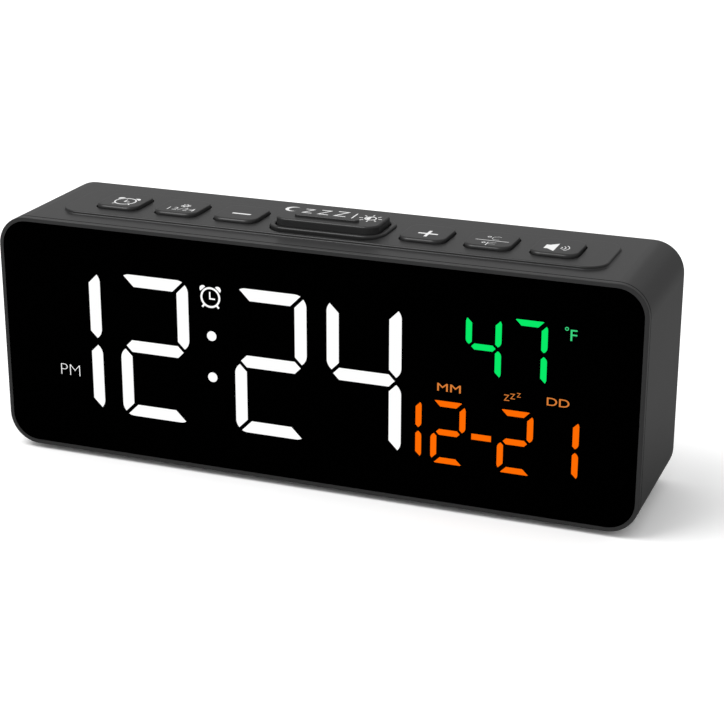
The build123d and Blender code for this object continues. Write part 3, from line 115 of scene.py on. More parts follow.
class Nodes:
    """Small helper round a node tree: adds nodes, sets inputs and links sockets."""

    def __init__(self, tree: bpy.types.NodeTree) -> None:
        """Starts with an empty tree."""
        self.tree = tree
        tree.nodes.clear()

    def add(self, kind: str, settings: dict | None = None, **inputs: object) -> bpy.types.Node:
        """Adds a node.

        Args:
            kind: Blender's name of the node type.
            settings: Properties of the node itself.
            inputs: Socket values or output sockets to link, with _ for a space in the socket's name.

        Returns:
            The new node.
        """
        node = self.tree.nodes.new(kind)
        for key, value in (settings or {}).items():
            setattr(node, key, value)
        for key, value in inputs.items():
            self.feed(node.inputs[key.replace("_", " ")], value)
        return node

    def feed(self, socket: bpy.types.NodeSocket, value: object) -> None:
        """Links an output socket to a socket, or sets its value."""
        if isinstance(value, bpy.types.NodeSocket):
            self.tree.links.new(value, socket)
        else:
            socket.default_value = value

    def math(self, operation: str, *values: object) -> bpy.types.NodeSocket:
        """Adds a math node with its inputs in order and gives its result."""
        node = self.add("ShaderNodeMath", {"operation": operation})
        for socket, value in zip(node.inputs, values):
            self.feed(socket, value)
        return node.outputs[0]


def surface_group() -> bpy.types.NodeTree:
    """Makes the shared surface effect: moulded grain, mottled colour and uneven gloss.

    Returns:
        A shader node group with the outputs Colour, Roughness and Height.
    """
    tree = bpy.data.node_groups.new("surface_grain", "ShaderNodeTree")
    for name, kind, start in (
        ("Colour", "NodeSocketColor", (0.5, 0.5, 0.5, 1.0)),
        ("Mottle", "NodeSocketFloat", 0.1),
        ("Roughness", "NodeSocketFloat", 0.5),
        ("Gloss Spread", "NodeSocketFloat", 0.05),
        ("Grain Scale", "NodeSocketFloat", 2000.0),
        ("Patch Scale", "NodeSocketFloat", 40.0),
    ):
        socket = tree.interface.new_socket(name=name, in_out="INPUT", socket_type=kind)
        socket.default_value = start
    for name, kind in (
        ("Colour", "NodeSocketColor"),
        ("Roughness", "NodeSocketFloat"),
        ("Height", "NodeSocketFloat"),
    ):
        tree.interface.new_socket(name=name, in_out="OUTPUT", socket_type=kind)
    nodes = Nodes(tree)
    given = nodes.add("NodeGroupInput").outputs
    place = nodes.add("ShaderNodeTexCoord").outputs["Object"]
    grain = nodes.add(
        "ShaderNodeTexNoise", Vector=place, Scale=given["Grain Scale"], Detail=2.0, Roughness=0.6
    ).outputs["Fac"]
    patch = nodes.add(
        "ShaderNodeTexNoise", Vector=place, Scale=given["Patch Scale"], Detail=3.0, Roughness=0.55
    ).outputs["Fac"]
    blend = nodes.math("MULTIPLY_ADD", grain, 0.5, nodes.math("MULTIPLY", patch, 0.5))
    centred = nodes.math("SUBTRACT", blend, 0.5)
    share = nodes.math("MULTIPLY_ADD", centred, given["Mottle"], 1.0)
    tinted = nodes.add("ShaderNodeVectorMath", {"operation": "SCALE"}, Scale=share)
    nodes.feed(tinted.inputs[0], given["Colour"])
    gloss = nodes.math("MULTIPLY_ADD", centred, given["Gloss Spread"], given["Roughness"])
    nodes.add("NodeGroupOutput", Colour=tinted.outputs[0], Roughness=gloss, Height=grain)
    return tree


SURFACE = surface_group()


@dataclass(frozen=True)
class Finish:
    """One surface of the clock, from its base colour to the grain of its mould."""

    name: str
    colour: Colour
    roughness: float
    specular: float = 0.5
    metallic: float = 0.0
    coat: float = 0.0
    mottle: float = 0.12
    gloss_spread: float = 0.06
    grain_mm: float = 0.4
    grain_depth_mm: float = 0.01
    patch_mm: float = 25.0
    glow: bool = False

    def material(self) -> bpy.types.Material:
        """Builds the material once and gives the same one afterwards."""
        made = bpy.data.materials.get(self.name)
        if made is not None:
            return made
        made = bpy.data.materials.new(self.name)
        made.use_nodes = True
        nodes = Nodes(made.node_tree)
        grain = nodes.add(
            "ShaderNodeGroup",
            {"node_tree": SURFACE},
            Colour=(*self.colour, 1.0),
            Mottle=self.mottle,
            Roughness=self.roughness,
            Gloss_Spread=self.gloss_spread,
            Grain_Scale=1.0 / (self.grain_mm * MM),
            Patch_Scale=1.0 / (self.patch_mm * MM),
        ).outputs
        shader = nodes.add(
            "ShaderNodeBsdfPrincipled",
            Roughness=grain["Roughness"],
            Metallic=self.metallic,
            Specular_IOR_Level=self.specular,
            Coat_Weight=self.coat,
        )
        if self.glow:
            nodes.feed(shader.inputs["Base Color"], (0.0, 0.0, 0.0, 1.0))
            nodes.feed(shader.inputs["Emission Strength"], 1.0)
            nodes.feed(shader.inputs["Emission Color"], grain["Colour"])
        else:
            nodes.feed(shader.inputs["Base Color"], grain["Colour"])
            bump = nodes.add("ShaderNodeBump", Height=grain["Height"], Distance=self.grain_depth_mm * MM)
            nodes.feed(shader.inputs["Normal"], bump.outputs["Normal"])
        nodes.add("ShaderNodeOutputMaterial", Surface=shader.outputs["BSDF"])
        return made


CASE_PLASTIC = Finish("case_plastic", (0.0230, 0.0230, 0.0232), 0.33)
KEY_PLASTIC = Finish("key_plastic", (0.0230, 0.0230, 0.0232), 0.33)
COVER_PLASTIC = Finish("cover_plastic", (0.0205, 0.0205, 0.0207), 0.42)
LENS_ACRYLIC = Finish(
    "lens_acrylic", (0.0001, 0.0001, 0.0001), 0.10, specular=0.002, gloss_spread=0.03, grain_depth_mm=0.0
)
# Near-black strip for the parting groove: its colour is painted shade that darkens the groove's line.
GROOVE_SHADE_RUBBER = Finish("groove_shade_strip", (0.0015, 0.0015, 0.0015), 0.90, specular=0.05, mottle=0.2)
MARK_INK = Finish("mark_ink", (0.80, 0.80, 0.80), 0.60, mottle=0.05, grain_mm=0.15)
CONTACT_GOLD = Finish("contact_gold", (0.83, 0.58, 0.22), 0.25, metallic=1.0)

SLOT_FINISHES: dict[str, Finish] = {
    "case_grey": CASE_PLASTIC,
    "cover_grey": COVER_PLASTIC,
    "key_grey": KEY_PLASTIC,
    "lens_black": LENS_ACRYLIC,
    "tape_black": Finish("foam_tape", (0.010, 0.010, 0.010), 0.90),
    "reflector_black": Finish("reflector_plastic", (0.015, 0.015, 0.015), 0.60),
    "diffuser_white": Finish("diffuser_white_resin", (0.78, 0.78, 0.76), 0.45),
    "diffuser_green": Finish("diffuser_green_resin", (0.10, 0.55, 0.20), 0.45),
    "diffuser_orange": Finish("diffuser_orange_resin", (0.70, 0.22, 0.04), 0.45),
    "board_green": Finish("board_mask", (0.010, 0.090, 0.035), 0.35, coat=0.3),
    "screw_steel": Finish("screw_zinc", (0.74, 0.74, 0.72), 0.30, metallic=1.0, mottle=0.2),
    "chip_black": Finish("chip_resin", (0.012, 0.012, 0.013), 0.55),
    "capacitor_can": Finish("capacitor_sleeve", (0.55, 0.56, 0.58), 0.28, metallic=1.0),
    "socket_white": Finish("socket_nylon", (0.62, 0.60, 0.55), 0.50),
    "cell_steel": Finish("cell_nickel", (0.62, 0.61, 0.58), 0.25, metallic=1.0, mottle=0.2),
    "basket_black": Finish("basket_steel", (0.020, 0.020, 0.020), 0.40),
    "magnet_dark": Finish("ferrite", (0.030, 0.030, 0.032), 0.60),
    "cone_fibre": Finish("cone_paper", (0.022, 0.021, 0.020), 0.85, mottle=0.4, grain_mm=0.8),
    "bead_dark": Finish("bead_epoxy", (0.015, 0.014, 0.012), 0.25),
    "lead_black": Finish("lead_sheath", (0.014, 0.014, 0.014), 0.50),
    "foot_rubber": Finish("foot_rubber", (0.012, 0.012, 0.012), 0.80, mottle=0.25, grain_mm=0.6),
}


def glow_finish(glow: Glow) -> Finish:
    """Gives the finish of a lit mark in one of the display's colours."""
    return Finish(f"lit_{glow.name.lower()}", glow.colour, 0.5, specular=0.0, mottle=0.04, glow=True)


@dataclass(frozen=True)
class Region:
    """One filled outline with the holes inside it, in millimetres."""

    outline: tuple[Point, ...]
    holes: tuple[tuple[Point, ...], ...] = ()

    def moved(self, u: float, v: float) -> "Region":
        """Gives a copy of a region without holes, shifted by (u, v)."""
        return Region(tuple((x + u, y + v) for x, y in self.outline))

    def scaled(self, u: float, v: float) -> "Region":
        """Gives a copy of a region without holes, stretched about the origin; a factor of -1 mirrors it."""
        return Region(tuple((x * u, y * v) for x, y in self.outline))

    def mesh(self) -> Flat:
        """Gives the region's points and the triangles between them."""
        loops = [self.outline, *self.holes]
        faces = tessellate_polygon([[Vector((*p, 0.0)) for p in loop] for loop in loops])
        return [p for loop in loops for p in loop], faces


class Pen:
    """Draws the plain shapes that marks are made of."""

    @staticmethod
    def arc(
        u: float, v: float, radius: float, start: float, end: float, steps: int = QUARTER_STEPS
    ) -> list[Point]:
        """Gives points along an arc.

        Args:
            u: Centre, to the right.
            v: Centre, up.
            radius: Radius of the arc.
            start: First angle in degrees.
            end: Last angle in degrees.
            steps: Number of parts that the arc is divided into.

        Returns:
            The points from the first angle to the last.
        """
        angles = [math.radians(start + (end - start) * i / steps) for i in range(steps + 1)]
        return [(u + radius * math.cos(a), v + radius * math.sin(a)) for a in angles]

    @classmethod
    def disc(cls, u: float, v: float, radius: float, steps: int = 32) -> Region:
        """Gives a filled circle."""
        return Region(tuple(cls.arc(u, v, radius, 0.0, 360.0, steps)[:-1]))

    @classmethod
    def ring(cls, u: float, v: float, outer: float, inner: float, steps: int = 48) -> Region:
        """Gives a circle with a round hole."""
        hole = tuple(cls.arc(u, v, inner, 0.0, 360.0, steps)[:-1])
        return Region(cls.disc(u, v, outer, steps).outline, (hole,))

    @classmethod
    def frame(
        cls, u: float, v: float, width: float, height: float, corner: float, steps: int = QUARTER_STEPS
    ) -> list[Point]:
        """Gives the points of a rectangle with round corners.

        Args:
            u: Middle, to the right.
            v: Middle, up.
            width: Size to the right.
            height: Size up.
            corner: Radius of the corners.
            steps: Number of parts that each corner is divided into.

        Returns:
            The points in order, from the upper right corner on.
        """
        du, dv = width / 2 - corner, height / 2 - corner
        middles = ((u + du, v + dv), (u - du, v + dv), (u - du, v - dv), (u + du, v - dv))
        return [
            point
            for i, middle in enumerate(middles)
            for point in cls.arc(*middle, corner, 90.0 * i, 90.0 * (i + 1), steps)
        ]

    @staticmethod
    def bar(start: Point, end: Point, width: float) -> Region:
        """Gives a straight stroke with square ends.

        Args:
            start: Middle of the first end.
            end: Middle of the other end.
            width: Width of the stroke.

        Returns:
            The stroke's outline.
        """
        du, dv = end[0] - start[0], end[1] - start[1]
        half = width / 2 / math.hypot(du, dv)
        nu, nv = -dv * half, du * half
        return Region((
            (start[0] + nu, start[1] + nv),
            (start[0] - nu, start[1] - nv),
            (end[0] - nu, end[1] - nv),
            (end[0] + nu, end[1] + nv),
        ))

    @classmethod
    def band(cls, u: float, v: float, outer: float, inner: float, start: float, end: float) -> Region:
        """Gives a part of a ring between two angles in degrees."""
        return Region(tuple(cls.arc(u, v, outer, start, end) + cls.arc(u, v, inner, end, start)))


def add_piece(
    name: str, mesh: bpy.types.Mesh, finish: Finish, body: str
) -> bpy.types.Object:
    """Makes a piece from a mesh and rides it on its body.

    Args:
        name: Name of the piece.
        mesh: Its mesh, in metres.
        finish: Its surface.
        body: The body that it rides on.

    Returns:
        The finished object.
    """
    mesh.materials.append(finish.material())
    piece = bpy.data.objects.new(name, mesh)
    bpy.context.scene.collection.objects.link(piece)
    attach(piece, body)
    LOG.info("piece %s: %d faces", name, len(mesh.polygons))
    return piece


@dataclass
class Mark:
    """A thin printed or lit mark: flat regions and letters, given a thickness on the face that carries it."""

    name: str
    facing: Facing
    level: float
    height: float
    finish: Finish
    body: str
    slot: str | None = None
    regions: list[Region] = field(default_factory=list)
    meshes: list[Flat] = field(default_factory=list)

    def write(self, body: str, low: Point, high: Point, weight: float = 0.0) -> None:
        """Adds letters or numbers that fill a given box.

        Args:
            body: The characters.
            low: Lower left corner of the box in millimetres.
            high: Upper right corner of the box in millimetres.
            weight: How far the strokes are thickened, as a share of the letter size.
        """
        curve = bpy.data.curves.new(self.name + "_text", "FONT")
        curve.body = body
        curve.offset = weight
        curve.resolution_u = 6
        text = bpy.data.objects.new(self.name + "_text", curve)
        bpy.context.scene.collection.objects.link(text)
        bpy.context.view_layer.update()
        view = bpy.context.evaluated_depsgraph_get()
        mesh = bpy.data.meshes.new_from_object(text.evaluated_get(view))
        flat = [(v.co.x, v.co.y) for v in mesh.vertices]
        faces = [tuple(p.vertices) for p in mesh.polygons]
        bpy.data.objects.remove(text)
        bpy.data.curves.remove(curve)
        bpy.data.meshes.remove(mesh)
        least = [min(p[i] for p in flat) for i in range(2)]
        most = [max(p[i] for p in flat) for i in range(2)]
        fitted = [
            tuple(low[i] + (p[i] - least[i]) / (most[i] - least[i]) * (high[i] - low[i]) for i in range(2))
            for p in flat
        ]
        self.meshes.append((fitted, faces))

    def build(self) -> bpy.types.Object:
        """Makes the piece and rides it on its body.

        Returns:
            The finished object.
        """
        shape = bmesh.new()
        for points, faces in [region.mesh() for region in self.regions] + self.meshes:
            corners = [shape.verts.new(self.facing.place(*p, self.level)) for p in points]
            for face in faces:
                shape.faces.new([corners[i] for i in face])
        bmesh.ops.remove_doubles(shape, verts=shape.verts[:], dist=WELD_DISTANCE)
        raised = bmesh.ops.extrude_face_region(shape, geom=shape.faces[:])["geom"]
        lifted = [item for item in raised if isinstance(item, bmesh.types.BMVert)]
        bmesh.ops.translate(shape, verts=lifted, vec=self.facing.rise(self.height))
        bmesh.ops.recalc_face_normals(shape, faces=shape.faces[:])
        mesh = bpy.data.meshes.new(self.name)
        shape.to_mesh(mesh)
        shape.free()
        return add_piece(self.name, mesh, self.finish, self.body)


@dataclass(frozen=True)
class SegmentDigit:
    """A seven-segment digit about its own middle, with the outlines of the diffusers behind it."""

    width: float
    height: float
    stroke: float
    slit: float
    corner: float
    drop: float
    mitre_shift: float = 0.18
    waist_gap: float = 0.4

    SEGMENTS = {"1": "bc", "2": "abged", "4": "fgbc", "7": "abc"}

    def meeting(self, u: float, v: float, level: float, sign: int) -> float:
        """Gives the angle at which the line x - sign * z = level meets a corner arc about (u, v)."""
        share = (level - u + sign * v) / (self.corner * math.sqrt(2.0))
        return math.degrees(math.acos(share)) - 45.0

    def upright(self) -> Region:
        """Gives the upper right segment."""
        a, b, t, r = self.width / 2, self.height / 2 - self.drop, self.stroke, self.corner
        top = self.meeting(a - r, b - r, a - b + self.mitre_shift, 1)
        low = self.meeting(a - r, self.waist_gap + r, a - self.waist_gap, -1)
        outline = [(a - t, b - t - self.mitre_shift)]
        outline += Pen.arc(a - r, b - r, r, top, 0.0)
        outline += Pen.arc(a - r, self.waist_gap + r, r, 0.0, -low)
        outline.append((a - t, t - self.waist_gap))
        return Region(tuple(outline))

    def level_top(self) -> Region:
        """Gives the top segment."""
        a, b, t, r = self.width / 2, self.height / 2, self.stroke, self.corner
        shift = self.slit * math.sqrt(2.0) - self.mitre_shift
        tip = self.meeting(a - r, b - r, a - b - shift, 1)
        right = [(a - t - shift, b - t)] + Pen.arc(a - r, b - r, r, tip, 90.0)
        left = [(-u, v) for u, v in reversed(right)]
        return Region(tuple(right + left))

    def middle(self) -> Region:
        """Gives the middle segment, with a point at each end."""
        tip = self.width / 2 - self.waist_gap - self.slit * math.sqrt(2.0)
        half = self.stroke / 2
        return Region((
            (tip, 0.0), (tip - half, half), (half - tip, half),
            (-tip, 0.0), (half - tip, -half), (tip - half, -half),
        ))

    def segments(self, number: str) -> list[Region]:
        """Gives the segments that show a number.

        Args:
            number: One character, a key of SEGMENTS.

        Returns:
            The lit segments about the digit's middle.
        """
        upright, top = self.upright(), self.level_top()
        shapes = {
            "a": top, "b": upright, "c": upright.scaled(1, -1), "d": top.scaled(1, -1),
            "e": upright.scaled(-1, -1), "f": upright.scaled(-1, 1), "g": self.middle(),
        }
        return [shapes[letter] for letter in self.SEGMENTS[number]]


@dataclass(frozen=True)
class AlarmSign:
    """An alarm clock: a ring, two bells, two feet and two hands, the last sizes in shares of its radius."""

    u: float
    v: float
    radius: float
    stroke: float
    hand: float
    bell_angle: float = 43.0
    bell_distance: float = 1.09
    bell_size: float = 0.33
    foot_angle: float = 41.0
    foot_span: Point = (0.99, 1.28)
    hand_corner: Point = (0.05, 0.12)
    hand_reach: Point = (0.52, 0.66)

    def at(self, degrees: float, distance: float) -> Point:
        """Gives the point at an angle and a distance from the middle."""
        angle = math.radians(degrees)
        return (self.u + distance * math.cos(angle), self.v + distance * math.sin(angle))

    def regions(self) -> list[Region]:
        """Gives the sign's shapes."""
        r, w, half = self.radius, self.stroke, self.hand / 2
        shapes = [Pen.ring(self.u, self.v, r, r - w)]
        for side in (-1, 1):
            bell = 90.0 - side * self.bell_angle
            middle = self.at(bell, self.bell_distance * r)
            shapes.append(Region(tuple(Pen.arc(*middle, self.bell_size * r, bell - 90.0, bell + 90.0))))
            foot = -90.0 + side * self.foot_angle
            shapes.append(Pen.bar(*(self.at(foot, share * r) for share in self.foot_span), w))
        u, v = self.u - self.hand_corner[0] * r, self.v - self.hand_corner[1] * r
        right, up = u + self.hand_reach[0] * r, v + self.hand_reach[1] * r
        shapes.append(Region((
            (u - half, up), (u - half, v - half), (right, v - half),
            (right, v + half), (u + half, v + half), (u + half, up),
        )))
        return shapes


@dataclass
class Display:
    """The window of the clock and everything that glows in it."""

    window_node: str = "display_lens"
    body: str = "case"
    inset: float = 0.06
    middle_z: float = FRONT_MIDDLE_Z
    big: SegmentDigit = SegmentDigit(
        width=21.2, height=41.7, stroke=3.45, slit=1.0, corner=3.4, drop=0.1
    )
    small: SegmentDigit = SegmentDigit(
        width=9.65, height=17.8, stroke=1.65, slit=0.8, corner=1.6, drop=0.65
    )
    time: Signs = (("1", -72.175), ("2", -45.175), ("2", -10.275), ("4", 16.725))
    temperature: Signs = (("4", 49.775), ("7", 62.025))
    date: Signs = (("1", 28.3), ("2", 40.55), ("2", 59.0), ("1", 71.25))
    row_offset: float = 12.6
    colon: Triple = (-27.725, 6.0, 1.4)
    dash: Triple = (49.775, 5.4, 1.65)
    alarm: AlarmSign = AlarmSign(u=-27.83, v=52.45, radius=2.95, stroke=0.55, hand=0.40)
    half_day_box: Box = ((-75.2, 24.15), (-69.2, 27.3))
    degree: tuple[float, float, float, float] = (71.76, 55.85, 0.51, 0.28)
    unit_box: Box = ((72.75, 52.75), (74.5, 55.75))
    month_box: Box = ((37.4, 34.45), (43.9, 36.6))
    day_box: Box = ((67.2, 34.45), (73.2, 36.6))
    sleep_signs: tuple[Triple, ...] = (
        (55.65, 34.2, 1.66), (57.35, 34.84, 1.48), (59.14, 35.54, 1.18)
    )
    sleep_width: float = 0.9
    sharp_from: float = 30.0

    def build_window(self) -> bpy.types.Object:
        """Makes the window, set back by the thickness of the lit marks.

        Returns:
            The window, which stands for the lens node.
        """
        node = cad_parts[self.window_node]
        mesh = node.data.copy()
        mesh.name = "display_window"
        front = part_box(self.window_node)[0].y
        shape = bmesh.new()
        shape.from_mesh(mesh)
        bmesh.ops.remove_doubles(shape, verts=shape.verts[:], dist=WELD_DISTANCE)
        for corner in shape.verts:
            if corner.co.y < front + self.inset * MM:
                corner.co.y = front + self.inset * MM
        shape.to_mesh(mesh)
        shape.free()
        mesh.materials.clear()
        mesh.set_sharp_from_angle(angle=math.radians(self.sharp_from))
        piece = add_piece("display_window", mesh, LENS_ACRYLIC, self.body)
        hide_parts(self.window_node)
        return piece

    def mark(self, name: str, glow: Glow) -> Mark:
        """Starts a lit mark in one of the display's colours."""
        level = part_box(self.window_node)[0].y / MM + self.inset
        return Mark(name, Facing.FRONT, level, self.inset, glow_finish(glow), self.body, glow.slot)

    def build_digits(self) -> None:
        """Makes the time, the temperature and the date."""
        time = self.mark("lit_time", Glow.WHITE)
        for number, u in self.time:
            time.regions += [s.moved(u, self.middle_z) for s in self.big.segments(number)]
        u, rise, radius = self.colon
        time.regions += [Pen.disc(u, self.middle_z + side * rise, radius) for side in (-1, 1)]
        time.build()
        warm = self.mark("lit_temperature", Glow.GREEN)
        for number, u in self.temperature:
            warm.regions += [s.moved(u, self.middle_z + self.row_offset) for s in self.small.segments(number)]
        warm.build()
        date = self.mark("lit_date", Glow.ORANGE)
        level = self.middle_z - self.row_offset
        for number, u in self.date:
            date.regions += [s.moved(u, level) for s in self.small.segments(number)]
        u, width, stroke = self.dash
        date.regions.append(Pen.bar((u - width / 2, level), (u + width / 2, level), stroke))
        date.build()

    def build_symbols(self) -> None:
        """Makes the small signs round the digits."""
        signs = self.mark("lit_time_signs", Glow.WHITE)
        signs.regions += self.alarm.regions()
        signs.write("PM", *self.half_day_box, weight=-0.03)
        signs.build()
        unit = self.mark("lit_unit", Glow.MINT)
        unit.regions.append(Pen.ring(*self.degree, steps=24))
        unit.write("F", *self.unit_box)
        unit.build()
        labels = self.mark("lit_date_signs", Glow.AMBER)
        labels.write("MM", *self.month_box)
        labels.write("DD", *self.day_box)
        for u, v, size in self.sleep_signs:
            labels.write("Z", (u, v), (u + size * self.sleep_width, v + size), weight=-0.005)
        labels.build()


class PatternTree:
    """A geometry node tree with named inputs that is run once and kept as a plain mesh."""

    def __init__(self, name: str, inputs: dict[str, str]) -> None:
        """Starts the tree.

        Args:
            name: Name of the tree.
            inputs: Socket type of each named input; one for the material is added to them.
        """
        self.tree = bpy.data.node_groups.new(name, "GeometryNodeTree")
        self.nodes = Nodes(self.tree)
        self.sockets = {
            key: self.tree.interface.new_socket(name=key, in_out="INPUT", socket_type=kind).identifier
            for key, kind in {**inputs, "Material": "NodeSocketMaterial"}.items()
        }
        self.tree.interface.new_socket(name="Geometry", in_out="OUTPUT", socket_type="NodeSocketGeometry")
        self.given = self.nodes.add("NodeGroupInput").outputs

    def close(self, geometry: bpy.types.NodeSocket) -> None:
        """Ends the tree: instances made real, material set."""
        real = self.nodes.add("GeometryNodeRealizeInstances", Geometry=geometry)
        dressed = self.nodes.add(
            "GeometryNodeSetMaterial", Geometry=real.outputs["Geometry"], Material=self.given["Material"]
        )
        self.nodes.add("NodeGroupOutput", Geometry=dressed.outputs["Geometry"])

    def run(self, name: str, values: dict[str, object], body: str) -> bpy.types.Object:
        """Runs the tree and keeps its result.

        Args:
            name: Name of the new piece.
            values: Value of each named input.
            body: The body that the piece rides on.

        Returns:
            A plain mesh object on its body.
        """
        piece = bpy.data.objects.new(name, bpy.data.meshes.new(name + "_start"))
        bpy.context.scene.collection.objects.link(piece)
        modifier = piece.modifiers.new(name, "NODES")
        modifier.node_group = self.tree
        for key, value in values.items():
            modifier[self.sockets[key]] = value
        bpy.context.view_layer.update()
        view = bpy.context.evaluated_depsgraph_get()
        mesh = bpy.data.meshes.new_from_object(piece.evaluated_get(view))
        mesh.name = name
        piece.modifiers.remove(modifier)
        piece.data = mesh
        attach(piece, body)
        LOG.info("pattern %s: %d faces", name, len(mesh.polygons))
        return piece


def ray_tree() -> PatternTree:
    """Makes the tree for rays that stand round a middle.

    Returns:
        A tree with the inputs Count, Radius, Size, Place and Material.
    """
    tree = PatternTree("ray_ring", {
        "Count": "NodeSocketInt",
        "Radius": "NodeSocketFloat",
        "Size": "NodeSocketVector",
        "Place": "NodeSocketVector",
    })
    nodes, given = tree.nodes, tree.given
    circle = nodes.add("GeometryNodeMeshCircle", Vertices=given["Count"], Radius=given["Radius"])
    ray = nodes.add("GeometryNodeMeshCube", Size=given["Size"])
    outward = nodes.add("FunctionNodeAlignRotationToVector", {"axis": "X"})
    nodes.feed(outward.inputs["Vector"], nodes.add("GeometryNodeInputPosition").outputs["Position"])
    rays = nodes.add(
        "GeometryNodeInstanceOnPoints",
        Points=circle.outputs["Mesh"],
        Instance=ray.outputs["Mesh"],
        Rotation=outward.outputs["Rotation"],
    )
    placed = nodes.add(
        "GeometryNodeTransform", Geometry=rays.outputs["Instances"], Translation=given["Place"]
    )
    tree.close(placed.outputs["Geometry"])
    return tree


def contact_tree() -> PatternTree:
    """Makes the tree for two rows of contact pads, one on each face of a tongue.

    Returns:
        A tree with the inputs Count, Pitch, Size, Start, Gap and Material.
    """
    tree = PatternTree("contact_rows", {
        "Count": "NodeSocketInt",
        "Pitch": "NodeSocketVector",
        "Size": "NodeSocketVector",
        "Start": "NodeSocketVector",
        "Gap": "NodeSocketVector",
    })
    nodes, given = tree.nodes, tree.given
    line = nodes.add("GeometryNodeMeshLine", Count=given["Count"], Start_Location=given["Start"])
    nodes.feed(line.inputs["Offset"], given["Pitch"])
    pad = nodes.add("GeometryNodeMeshCube", Size=given["Size"])
    row = nodes.add(
        "GeometryNodeInstanceOnPoints", Points=line.outputs["Mesh"], Instance=pad.outputs["Mesh"]
    ).outputs["Instances"]
    other = nodes.add("GeometryNodeTransform", Geometry=row, Translation=given["Gap"])
    both = nodes.add("GeometryNodeJoinGeometry")
    nodes.feed(both.inputs["Geometry"], row)
    nodes.feed(both.inputs["Geometry"], other.outputs["Geometry"])
    tree.close(both.outputs["Geometry"])
    return tree


